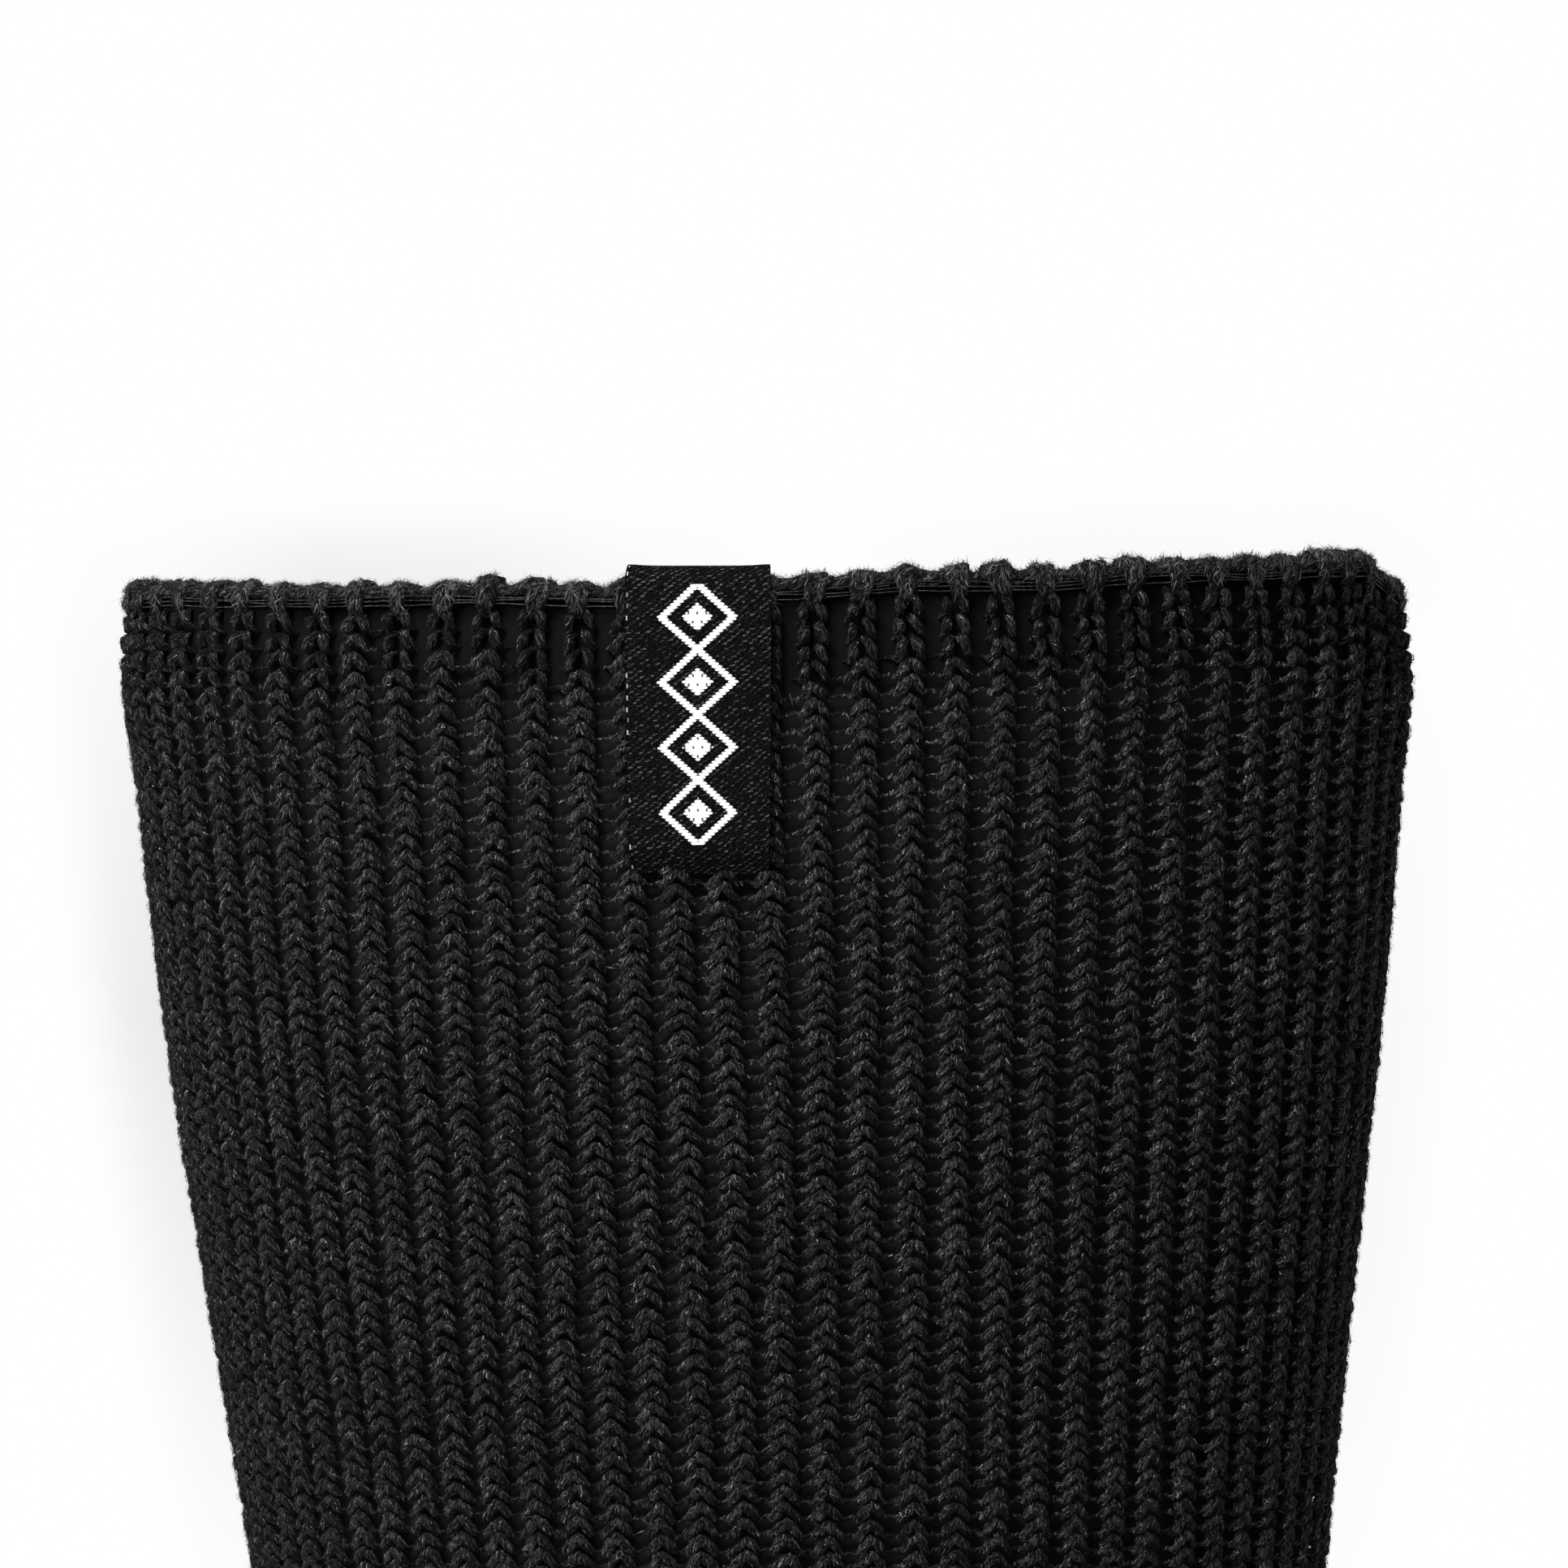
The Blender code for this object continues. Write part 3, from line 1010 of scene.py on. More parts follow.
@dataclass
class Yarn:
    """A stretch of yarn's middle lines, with what each of their points carries.

    away is a direction that the yarn's outer side keeps to, tone a brightness, and twist the radians that
    the fibres turn in a millimetre. local is each point's place across and up its own stitch, and a number
    that is the stitch's own: there the fibres fan out over the stitch, and elsewhere they follow the twist.
    flatten is the depth as a share of the width, span is how much of the way round is made, about the
    outer side, and lumps is how uneven the surface is, as a share of the radius.
    """

    points: Array
    away: Array
    radii: Array
    tone: Array | float = 1.0
    twist: Array | float = 0.0
    local: Array | None = None
    flatten: float = 0.85
    span: float = 4.0
    lumps: float = 0.13

    def tubes(self, parts: MeshParts, sides: int) -> Directions:
        """Adds the yarn's surface to some parts.

        Args:
            parts: where it is added.
            sides: how many sides the yarn has.

        Returns:
            The unit vectors along the yarn, outward and sideways, at each point.
        """
        lines, count, _ = self.points.shape
        along = unit(np.gradient(self.points, axis=1))
        out = unit(self.away - (self.away * along).sum(-1, keepdims=True) * along)
        side = np.cross(along, out)
        closed = self.span >= FULL_TURN
        turn = np.linspace(-0.5 * self.span, 0.5 * self.span, sides)
        if closed:
            turn = np.arange(sides) / sides * self.span
        ring = self.flatten * np.cos(turn)[:, None] * out[:, :, None]
        ring = ring + np.sin(turn)[:, None] * side[:, :, None]
        random = np.random.default_rng(count * lines)
        uneven = 1.0 + self.lumps * random.standard_normal((lines, count, sides, 1))
        surface = self.points[:, :, None] + self.radii[:, :, None, None] * ring * uneven
        fibre = self.wound(turn) if self.local is None else self.fanned(turn)
        tone = np.repeat(np.broadcast_to(self.tone, (lines, count)), sides)
        starts = np.arange(lines)[:, None, None, None] * (count * sides)
        parts.add(surface, grid_quads(count, sides, closed)[None] + starts, fibre=fibre, tone=tone)
        return along, out, side

    def wound(self, turn: Array) -> Array:
        """Coordinates for fibres that run along the yarn with its twist.

        Args:
            turn: the angles round the yarn of the points of its surface.

        Returns:
            How far along the yarn each surface point is, and where round it.
        """
        lines, count, _ = self.points.shape
        ahead = walked(self.points, 1)
        twisted = np.diff(ahead, axis=1) * np.broadcast_to(self.twist, (lines, count))[:, 1:]
        turned = np.concatenate((np.zeros((lines, 1)), np.cumsum(twisted, axis=1)), axis=1)
        angle = turn + turned[:, :, None]
        lengthwise = np.broadcast_to((ahead + np.arange(lines)[:, None] * 7.31)[:, :, None], angle.shape)
        return np.stack((lengthwise, 0.45 * np.cos(angle), 0.45 * np.sin(angle)), axis=-1)

    def fanned(self, turn: Array) -> Array:
        """Coordinates for fibres that spread down over each stitch from a place above it.

        Args:
            turn: the angles round the yarn of the points of its surface.

        Returns:
            How far from that place each surface point is, how far round it, and how deep it lies.
        """
        ahead = unit(np.gradient(self.local[..., :2], axis=1))
        swing = self.radii[..., None] * np.sin(turn)
        across = self.local[..., :1] - swing * ahead[..., 1:] - FAN_ACROSS
        below = FAN_ABOVE - self.local[..., 1:2] - swing * ahead[..., :1]
        depth = self.radii[..., None] * np.cos(turn) + self.local[..., 2:]
        return np.stack((np.hypot(across, below), FAN_ABOVE * np.arctan2(across, below), depth), axis=-1)

    def lean(self, line: Array, index: Array) -> Array:
        """The angle from the yarn's own direction to its fibres' direction.

        Args:
            line: the line's number of each place.
            index: the point's number of each place.

        Returns:
            The angles.
        """
        if self.local is None:
            return -np.arctan(self.twist[line, index] * 0.42)
        ahead = unit(np.gradient(self.local[..., :2], axis=1))[line, index]
        place = self.local[line, index]
        up = unit(np.stack((FAN_ACROSS - place[:, 0], FAN_ABOVE - place[:, 1]), axis=1))
        return np.arctan2(ahead[:, 0] * up[:, 1] - ahead[:, 1] * up[:, 0], (ahead * up).sum(-1))

    def fibres(self, parts: MeshParts, directions: Directions, fluff: Fluff, seed: int) -> None:
        """Adds fibres that lie along the yarn as its own do, and a few that stand off it.

        Args:
            parts: where they are added.
            directions: the unit vectors along the yarn, outward and sideways.
            fluff: how many and of what kind.
            seed: fixes their places.
        """
        random = np.random.default_rng(seed)
        each = (fluff.total, 1)
        weight = (self.radii[:, :-1] ** 2 * self.tone[:, :-1]).ravel()
        picked = random.choice(weight.size, size=fluff.total, p=weight / weight.sum())
        line, index = np.divmod(picked, self.points.shape[1] - 1)
        share = random.random(each)
        base = self.points[line, index] * (1 - share) + self.points[line, index + 1] * share
        forward, up, aside = (direction[line, index] for direction in directions)
        angle = random.uniform(-1.3, 1.3, each)
        outward = np.cos(angle) * up + np.sin(angle) * aside
        sideways = np.cos(angle) * aside - np.sin(angle) * up
        loose = random.random(each) < fluff.flyaways
        way = np.where(random.random(each) < 0.5, -1.0, 1.0)
        lean = self.lean(line, index)[:, None] + random.normal(0.0, np.where(loose, 1.0, 0.36))
        flat = way * (np.cos(lean) * forward + np.sin(lean) * sideways)
        rise = np.abs(random.normal(0.0, 0.12, each))
        rise = rise + np.where(loose, 0.4, fluff.stand * random.uniform(0.0, 2.0, each))
        reach = fluff.length * np.clip(random.lognormal(-0.1, 0.3, each), 0.4, 1.6)
        reach = reach * np.where(loose, 1.8, 1.0)
        bold = random.random(each) < 0.3
        broad = fluff.width * random.uniform(0.6, 1.4, each)
        broad = broad * np.where(loose, 0.5, np.where(bold, 2.1, 0.9))
        root = base + outward * self.radii[line, index][:, None] * 0.9 - 0.5 * reach * flat
        tip = root + reach * unit(flat + rise * outward)
        flank = unit(np.cross(flat, outward)) * broad * 0.5
        corners = np.stack((root + flank, root - flank, tip), axis=1)
        tone = np.clip(random.lognormal(fluff.brightness, 0.95, each), 0.0, 1.0)
        # The fibres take on the yarn's tone, with its painted shade and highlights.
        tone = tone * np.clip(self.tone[line, index], 0.0, 2.0)[:, None] ** 0.7
        tone = tone * np.where(bold, 1.25, np.where(loose, 0.6, 0.75))
        parts.add(corners, None, np.arange(fluff.total * 3), tone=np.repeat(tone, 3))


@dataclass
class Thread(Yarn):
    """Smooth round thread, made all the way round."""

    flatten: float = 1.0
    span: float = FULL_TURN
    lumps: float = 0.0


# Knitting


@dataclass
class RibKnit:
    """Courses of yarn in rib: arrow-shaped stitches up each rib, and thin strands across the valleys.

    The strands carry a painted highlight, strongest near the top, and are thinnest and furthest out there,
    down to dash_reach, and the ribs are slimmest there, down to slim_reach. Above welt_depth the edge
    gathers the ribs into single slugs.
    """

    form: SockForm
    course: float = 1.35
    first: float = 4.0
    first_stretch: float = 1.1
    welt_depth: float = 7.2
    welt_blur: float = 3.0
    rib_width: float = 3.7
    dash_reach: float = 36.0
    dash_light: float = 3.2
    dash_slim: float = 0.22
    dash_out: float = 0.34
    slim: float = 0.03
    slimmer: float = 0.18
    slim_reach: float = 25.0
    painted_shade_downs: Floats = (48.0, 80.0, 110.0)
    painted_shade_tones: Floats = (1.0, 0.86, 0.95)
    seed: int = 11

    def __post_init__(self) -> None:
        """Draws the unevenness of every stitch on the leg and the foot."""
        last = self.form.down_of("toe_start") - self.first - self.first_stretch
        self.courses = int(last / self.course)
        number = np.arange(self.courses)
        self.downs = self.first + self.course * number + self.first_stretch * (1.0 - np.exp(-number / 2.5))
        shape = (self.courses, self.form.ribs)
        random = np.random.default_rng(self.seed)
        self.sway = 0.015 * smooth_noise(random, shape, (7, 1))
        self.sway += 0.02 * smooth_noise(random, shape, (15, 3))
        self.spread = 1.0 + 0.04 * smooth_noise(random, shape, (5, 1))
        self.lift = 0.035 * smooth_noise(random, shape, (5, 3)) + 0.05 * smooth_noise(random, shape, (1, 1))
        self.tip_sway = 0.04 * random.standard_normal(shape)
        self.tip_rise = 0.09 * random.standard_normal(shape)
        self.wing = 0.10 * random.standard_normal((2, *shape))
        self.leg_out = 0.05 * random.standard_normal((2, *shape))
        self.thick = 1.0 + 0.05 * random.standard_normal(shape)
        self.tone = np.clip(1.0 + 0.13 * random.standard_normal((2, *shape)), 0.4, 1.7)
        self.ragged = random.standard_normal((3, *shape, len(RIB_STITCH)))
        blur = self.welt_blur * smooth_noise(random, (1, self.form.ribs), (1, 1))
        self.welt = 1.0 / (1.0 + np.exp((self.downs[:, None] - self.welt_depth + 0.5 * blur) / 0.7))

    def course_at(self, down: float) -> int:
        """The number of the first course that lies below some distance down the tube."""
        return int(np.searchsorted(self.downs, down))

    def fading(self, courses: Array, reach: float) -> Array:
        """1 at the top of the leg and 0 well below some reach, for each of some courses."""
        return np.exp(-((self.downs[courses] / reach) ** 3))[:, None, None]

    def stitches(self, courses: Array, welt: Array, points: int) -> Array:
        """The even line of some stitches, before they are made uneven.

        Args:
            courses: the courses' numbers.
            welt: how far each stitch is one of the welt's, from 0 to 1.
            points: points along a stitch.

        Returns:
            A bend's values at each point of each stitch.
        """
        rib_line = stitch_line(RIB_STITCH, points)
        place, gathered = rib_line[:, 0], welt[..., None, None]
        line = rib_line * (1.0 - gathered) + stitch_line(WELT_STITCH, points) * gathered
        high_up = self.fading(courses, self.dash_reach) * (1.0 - welt[..., None])
        strand = np.clip((np.abs(place) - 0.38) / 0.04, 0.0, 1.0)
        # Painted highlight on the strands across the valleys, mostly at their end by the next rib, fading
        # down the leg.
        lit = np.interp(place, (-0.5, -0.4, 0.3, 0.42), (0.4, 0.0, 0.0, 1.0))
        line[..., 4] *= 1.0 + self.dash_light * lit * high_up
        line[..., 3] *= 1.0 - self.dash_slim * strand * high_up
        line[..., 2] += self.dash_out * strand * high_up
        narrow = self.slim + self.slimmer * self.fading(courses, self.slim_reach)
        line[..., 0] *= 1.0 - narrow * np.clip((0.5 - np.abs(place)) / 0.1, 0.0, 1.0)
        return line

    def yarn(self, courses: Array, ribs: Array, detail: Detail) -> Yarn:
        """The yarn through some stitches.

        Args:
            courses: the courses' numbers.
            ribs: the ribs' numbers, in order round the leg.
            detail: how finely the yarn is made.

        Returns:
            The yarn, one line to a course.
        """
        pick = np.ix_(courses, ribs % self.form.ribs)
        line = self.stitches(courses, self.welt[pick], detail.points)
        place, height = stitch_line(RIB_STITCH, detail.points)[:, :2].T
        right = (place > 0.0).astype(int)
        wing, leg_out, tone = (
            np.moveaxis(values[:, pick[0], pick[1]][right], 0, -1)
            for values in (self.wing, self.leg_out, self.tone)
        )
        sway, tip_sway, spread, lift, tip_rise, thick = (
            values[pick][..., None]
            for values in (self.sway, self.tip_sway, self.spread, self.lift, self.tip_rise, self.thick)
        )
        ragged = self.ragged[:, pick[0], pick[1]][..., :: len(RIB_STITCH) // detail.points]
        high = np.clip(height / 0.9, 0.0, 1.0)
        held = np.clip(1.0 - np.abs(place) / 0.5, 0.0, 1.0) ** 0.5
        across = line[..., 0] * (1.0 + (spread - 1.0) * held) + sway + tip_sway * high
        rise = line[..., 1] + lift + tip_rise * high + wing * (1.0 - high) + 0.03 * ragged[0]
        out = line[..., 2] + leg_out * high + 0.04 * ragged[1]
        radius = line[..., 3] * thick * (1.0 + 0.08 * ragged[2])
        # Painted shade: the yarn is made darker down the leg, most at the lower leg and a little lighter
        # again at the ankle. The tone also carries each stitch's painted shade and light.
        fade = np.interp(self.downs[courses], self.painted_shade_downs, self.painted_shade_tones)[:, None, None]
        tone = detail.gain * fade * tone * line[..., 4]
        turn = (ribs[None, :, None] + across) / self.form.ribs
        down = self.downs[courses][:, None, None] - rise
        shape = (len(courses), -1)
        points, away = self.form.place(turn.reshape(shape), down.reshape(shape), out.reshape(shape))
        own = 50.0 * ragged[0][..., :1]
        local = np.stack(np.broadcast_arrays(self.rib_width * across, rise, own), axis=-1)
        local = local.reshape(*points.shape)
        return Yarn(points, away, radius.reshape(shape), tone.reshape(shape), 0.0, local)


@dataclass
class Leg:
    """The ribbed knitting of the leg and the top of the foot, finest on the side with the label.

    The fine stretch ends at fine_end down the leg, and is cut into fine_pieces. near, far and instep are
    the first rib and the rib after the last on the label's side, on the far side and on the foot.
    """

    form: SockForm
    knit: RibKnit
    fine_end: float = 85.5
    fine_pieces: int = 4
    near: tuple[int, int] = (-1, 38)
    far: tuple[int, int] = (38, 71)
    instep: tuple[int, int] = (-18, 19)
    finish: YarnFinish = YarnFinish()
    fuzz: FuzzFinish = FuzzFinish()

    def build(self) -> list[Thing]:
        """Makes every stretch of yarn and its fibres.

        Returns:
            The objects.
        """
        materials = (self.finish.make(), self.fuzz.make())
        knit, whole = self.knit, (0, self.form.ribs)
        fine = knit.course_at(self.fine_end)
        full = knit.course_at(self.form.down_of("heel_top"))
        stops = [fine * number // self.fine_pieces for number in range(self.fine_pieces + 1)]
        stretches = [
            (f"leg_near_{number}", courses, self.near, Detail.CLOSE)
            for number, courses in enumerate(zip(stops, stops[1:]))
        ]
        stretches.append(("leg_far", (0, fine), self.far, Detail.MIDDLE))
        stretches.append(("leg_low", (fine, full), whole, Detail.PLAIN))
        stretches.append(("instep", (full, knit.courses), self.instep, Detail.PLAIN))
        return [piece for stretch in stretches for piece in self.stretch(*stretch, materials)]

    def stretch(
        self,
        name: str,
        courses: tuple[int, int],
        ribs: tuple[int, int],
        detail: Detail,
        materials: tuple[Material, Material],
    ) -> list[Thing]:
        """Makes one stretch of knitting.

        Args:
            name: the start of the objects' names.
            courses: the first course and the one after the last.
            ribs: the first rib and the one after the last.
            detail: how finely it is made.
            materials: the yarn's and the fibres'.

        Returns:
            The yarn and its fibres.
        """
        strands = self.knit.yarn(np.arange(*courses), np.arange(*ribs), detail)
        body, hairs = MeshParts(), MeshParts()
        directions = strands.tubes(body, detail.sides)
        total = detail.fibres * (courses[1] - courses[0]) * (ribs[1] - ribs[0])
        strands.fibres(hairs, directions, Fluff(total, width=detail.width), len(name) + courses[0])
        return [body.make(f"{name}_yarn", [materials[0]]), hairs.make(f"{name}_fibres", [materials[1]])]


@dataclass
class Wall:
    """The wall under the ribs, the plain heel, sole and toe, and the brushed inside.

    under_ribs and plain are how far out the wall lies there. flank_fill brings it out at the sides of the
    top of the leg. The plain toe starts lip above the ring of that name, over lip_width.
    """

    form: SockForm
    under_ribs: float = -1.75
    plain: float = -0.12
    flank_fill: float = 1.0
    lip: float = 0.9
    lip_width: float = 1.2
    sole_turn: float = 0.2535
    columns: int = 144
    inner_columns: int = 72
    steps: tuple[float, float, float] = (4.0, 2.5, 3.0)
    flat_round: float = 0.19
    flat_length: float = 0.40

    def rows(self) -> Array:
        """Places the wall's rows down the leg, round the heel and along the foot.

        Returns:
            How far down each row lies.
        """
        form = self.form
        stops = (form.places[0], form.down_of("ankle"), form.down_of("heel_sole"), form.length)
        downs = [np.arange(low, high, step) for low, high, step in zip(stops, stops[1:], self.steps)]
        lip = form.down_of("toe_start") - self.lip - np.array((0.0, self.lip_width))
        return np.sort(np.concatenate((*downs, lip, (form.length - 0.4,))))

    def build(self) -> Thing:
        """Makes the closed wall with its three finishes.

        Returns:
            The wall.
        """
        form, down, parts = self.form, self.rows(), MeshParts()
        turn = np.arange(self.columns) / self.columns
        depth = self.outer_depth(turn[None], down[:, None])
        outer, _ = form.place(turn[None], down[:, None], depth)
        parts.add(outer, grid_quads(len(down), self.columns, True), cloth=self.cloth(outer))
        ribbed = depth[:-1] + depth[1:] < self.under_ribs + self.plain
        inner, _ = form.place(turn[None, :: self.columns // self.inner_columns], down[:, None], -form.wall)
        start = parts.count
        faces = grid_quads(len(down), self.inner_columns, True)[..., ::-1]
        parts.add(inner, faces, cloth=self.cloth(inner))
        ring, inner_ring = np.arange(self.columns), start + np.arange(self.inner_columns)
        last = ring + start - self.columns
        last_inner = inner_ring + (len(down) - 1) * self.inner_columns
        tip = np.array((form.tip[0] - 0.1, 0.0, form.tip[1]))
        outer_tip, inner_tip = parts.count, parts.count + 1
        parts.add(np.stack((tip, tip - (form.wall, 0.0, 0.0))), cloth=np.zeros((2, 3)))
        top = self.step_faces(ring, inner_ring)
        after, inner_after = np.roll(last, -1), np.roll(last_inner, -1)
        cap = np.stack((after, np.full_like(last, outer_tip), last), axis=1)
        inner_cap = np.stack((np.full_like(last_inner, inner_tip), inner_after, last_inner), axis=1)
        parts.triangles += [top, cap, inner_cap]
        slots = [np.where(ribbed, 0, 1).ravel(), np.full(faces.size // 4, 2)]
        slots += [np.full(len(top), 2), np.full(len(cap), 1), np.full(len(inner_cap), 2)]
        materials = [DepthFinish().make(), PlainKnitFinish().make(), InsideFinish().make()]
        return parts.make("sock_wall", materials, np.concatenate(slots))

    def step_faces(self, fine: Array, coarse: Array) -> Array:
        """Triangles between a ring of points and one with half as many.

        Args:
            fine: the first ring's point numbers.
            coarse: the other ring's.

        Returns:
            The triangles.
        """
        here, middle, there = fine[::2], fine[1::2], np.roll(fine[::2], -1)
        after = np.roll(coarse, -1)
        faces = ((here, coarse, middle), (middle, after, there), (middle, coarse, after))
        return np.stack([np.stack(face, axis=1) for face in faces], axis=1).reshape(-1, 3)

    def outer_depth(self, turn: Array, down: Array) -> Array:
        """How far out the wall lies: deep under the ribs and near the crests where it is plain.

        Args:
            turn: how far round.
            down: how far down.

        Returns:
            The distances.
        """
        aside = np.abs((turn + 0.5) % 1.0 - 0.5)
        heel, toe = self.form.down_of("heel_top"), self.form.down_of("toe_start")
        sole = np.clip((aside - self.sole_turn) / 0.006, 0.0, 1.0) * np.clip((down - heel) / 1.2, 0.0, 1.0)
        cap = np.clip((down - toe + self.lip + self.lip_width) / self.lip_width, 0.0, 1.0)
        flank = np.clip(1.0 - np.minimum(aside, 0.5 - aside) / 0.09, 0.0, 1.0)
        fill = self.flank_fill * flank * np.clip(1.0 - (down - 9.0) / 8.0, 0.0, 1.0)
        return self.under_ribs + fill + (self.plain - self.under_ribs) * np.maximum(sole, cap)

    def cloth(self, points: Array) -> Array:
        """Coordinates in stitches: two wales to a rib, and courses counted down each column.

        Args:
            points: a grid of points, a row for each ring.

        Returns:
            The coordinates at each point.
        """
        courses = walked(points, 0) / 1.5
        wale = np.arange(points.shape[1]) / points.shape[1] * 2.0 * self.form.ribs
        mirrored = np.minimum(wale, 2.0 * self.form.ribs - wale)
        return np.stack((np.broadcast_to(mirrored, courses.shape), courses, 0.0 * courses), axis=2)


@dataclass
class Edge:
    """The turned edge: a roll of yarn with a knob over it for each rib, and elastic threads laid in below.

    Angles are in degrees round the roll, from the outside of the leg. knob_fan has the knob's strands
    aside of its middle, knob_foot and knob_tip how far apart they lie at its foot and its top, in ribs.
    """

    form: SockForm
    seed: int = 5
    roll_steps: int = 576
    roll_angles: Floats = (45.0, 90.0, 135.0)
    roll_radius: float = 0.50
    roll_distance: float = 0.57
    roll_tone: float = 0.68
    roll_twist: float = 1.2
    lump: float = 0.42
    lump_width: float = 0.27
    knob_fan: Floats = (-1.0, 0.0, 1.0)
    knob_tip: float = 0.15
    knob_foot: float = 0.06
    knob_distance: float = 1.06
    knob_twist: float = 0.9
    knob_angles: Floats = (22.0, 50.0, 80.0, 110.0, 140.0, 172.0)
    knob_radii: Floats = (0.16, 0.30, 0.38, 0.42, 0.44, 0.45, 0.45, 0.44, 0.40, 0.34, 0.22)
    elastic_downs: Floats = (1.34, 1.64, 1.96)
    elastic_out: float = -0.42
    elastic_radius: float = 0.06
    elastic_steps: int = 360
    # Painted sheen: the edge's fibres are brighter than the leg's.
    roll_fluff: Fluff = Fluff(26000, 0.6, 0.045, 0.12, 0.6, -1.35)
    knob_fluff: Fluff = Fluff(28000, 0.65, 0.045, 0.12, 0.45, -1.2)

    def build(self) -> list[Thing]:
        """Makes the roll, the knobs, their fibres and the elastic.

        Returns:
            The yarn, its fibres and the elastic.
        """
        random = np.random.default_rng(self.seed)
        body, hairs = MeshParts(), MeshParts()
        roll, knobs = self.roll(random), self.knobs(random)
        roll.fibres(hairs, roll.tubes(body, 5), self.roll_fluff, self.seed)
        knobs.fibres(hairs, knobs.tubes(body, 5), self.knob_fluff, self.seed + 1)
        # Painted highlight: the edge's yarn has brighter streaks, for the sheen on the turned edge.
        yarn = YarnFinish("black_edge_yarn", light=(0.13, 0.13, 0.132)).make()
        fuzz = FuzzFinish("black_edge_fuzz").make()
        return [body.make("edge_yarn", [yarn]), hairs.make("edge_fibres", [fuzz]), self.elastic(random)]

    def roll(self, random: np.random.Generator) -> Yarn:
        """The strands that run round the leg under the knobs, with a lump of its own height at each rib.

        Args:
            random: the source of random numbers.

        Returns:
            The strands.
        """
        steps, count = self.roll_steps, len(self.roll_angles)
        turn = np.arange(steps + 1) / steps
        sag = 0.06 * smooth_noise(random, (count, steps), (1, 5))
        sag = np.concatenate((sag, sag[:, :1]), axis=1)
        rib = turn * self.form.ribs
        heights = np.clip(1.0 + 0.45 * random.standard_normal(self.form.ribs + 1), 0.1, 1.8)
        near = np.rint(rib).astype(int)
        sag = sag + self.lump * heights[near] * np.exp(-(((rib - near) / self.lump_width) ** 2))
        angle = np.radians(self.roll_angles)[:, None] + 0.2 * sag
        points, away = self.form.over_edge(turn[None], angle, self.roll_distance + sag)
        radii = self.roll_radius * (1.0 + 0.5 * sag)
        tone, twist = (np.full(radii.shape, value) for value in (self.roll_tone, self.roll_twist))
        return Yarn(points, away, radii, tone, twist)

    def knobs(self, random: np.random.Generator) -> Yarn:
        """The strands of each knob, from the outside of the cuff over the roll to the inside.

        Args:
            random: the source of random numbers.

        Returns:
            The strands.
        """
        ribs = self.form.ribs
        fan = np.tile(self.knob_fan, ribs)
        rib = np.repeat(np.arange(ribs), len(self.knob_fan))
        aside = 0.05 * random.standard_normal(ribs)[rib]
        lean = 0.07 * random.standard_normal(ribs)[rib]
        rise = 0.16 * random.standard_normal(ribs)[rib] + 0.06 * random.standard_normal(len(rib))
        foot = rib + aside + fan * self.knob_foot
        top = rib + aside + lean + fan * self.knob_tip + 0.03 * random.standard_normal(len(rib))
        turns = foot[:, None] + np.array((0.0, 0.35, 0.75)) * (top - foot)[:, None]
        lower = self.form.place(turns / ribs, np.array((3.0, 2.3, 1.7)), np.array((-1.15, -0.55, -0.22)))
        angles = np.radians(self.knob_angles)
        over = top[:, None] + fan[:, None] * np.linspace(0.0, 0.08, len(angles))
        far = self.knob_distance + rise[:, None] * np.sin(angles)
        upper = self.form.over_edge(over / ribs, angles, far)
        inner_down, inner_out = np.array((2.6, 4.2)), np.array((-2.55, -2.75))
        inner, inner_away = self.form.place(over[:, -1:] / ribs, inner_down, inner_out)
        points = np.concatenate((lower[0], upper[0], inner), axis=1)
        away = np.concatenate((lower[1], upper[1], -inner_away), axis=1)
        radii = np.array(self.knob_radii) * (1.0 + 0.12 * random.standard_normal((len(rib), 1)))
        tone = np.clip(1.1 + 0.25 * random.standard_normal((len(rib), 1)), 0.4, 1.7) + 0.0 * radii
        twist = self.knob_twist * np.where(fan < 0.0, 1.0, -1.0)[:, None] + 0.0 * radii
        return Yarn(points, away, radii, tone, twist)

    def elastic(self, random: np.random.Generator) -> Thing:
        """Makes the elastic threads that run round the leg behind the knobs.

        Args:
            random: the source of random numbers.

        Returns:
            The threads.
        """
        parts, steps = MeshParts(), self.elastic_steps
        turn = np.arange(steps + 1) / steps
        for down in self.elastic_downs:
            wander = 0.07 * smooth_noise(random, (1, steps), (1, 7))[0]
            wander = np.append(wander, wander[0])
            points, away = self.form.place(turn, down + wander, self.elastic_out + 0.5 * wander)
            Thread(points[None], away[None], np.full((1, steps + 1), self.elastic_radius)).tubes(parts, 4)
        return parts.make("edge_elastic", [ElasticFinish().make()])


@dataclass
class ToeSeam:
    """The flat seam that closes the toe, as a row of small linked loops."""

    form: SockForm
    reach: float = 0.238
    loops: int = 62
    loop_points: int = 6
    radius: float = 0.34
    finish: YarnFinish = YarnFinish("black_seam_yarn", light=(0.05, 0.05, 0.051), sheen=0.0)

    def build(self) -> Thing:
        """Makes the two strands of the seam.

        Returns:
            The seam.
        """
        count = self.loops * self.loop_points + 1
        place = np.linspace(-1.0, 1.0, count)
        radius = self.radius * np.clip(6.0 * (1.0 - np.abs(place)), 0.25, 1.0)
        parts = MeshParts()
        for side in (-1.0, 1.0):
            swing = np.sin((np.arange(count) / self.loop_points + 0.25 * side) * FULL_TURN)
            down = self.form.down_of("toe_seam") + 0.45 * side + 0.35 * swing
            points, away = self.form.place(self.reach * place, down, 0.12 + 0.14 * side * swing)
            Thread(points[None], away[None], radius[None], twist=1.5).tubes(parts, 5)
        return parts.make("toe_seam", [self.finish.make()])


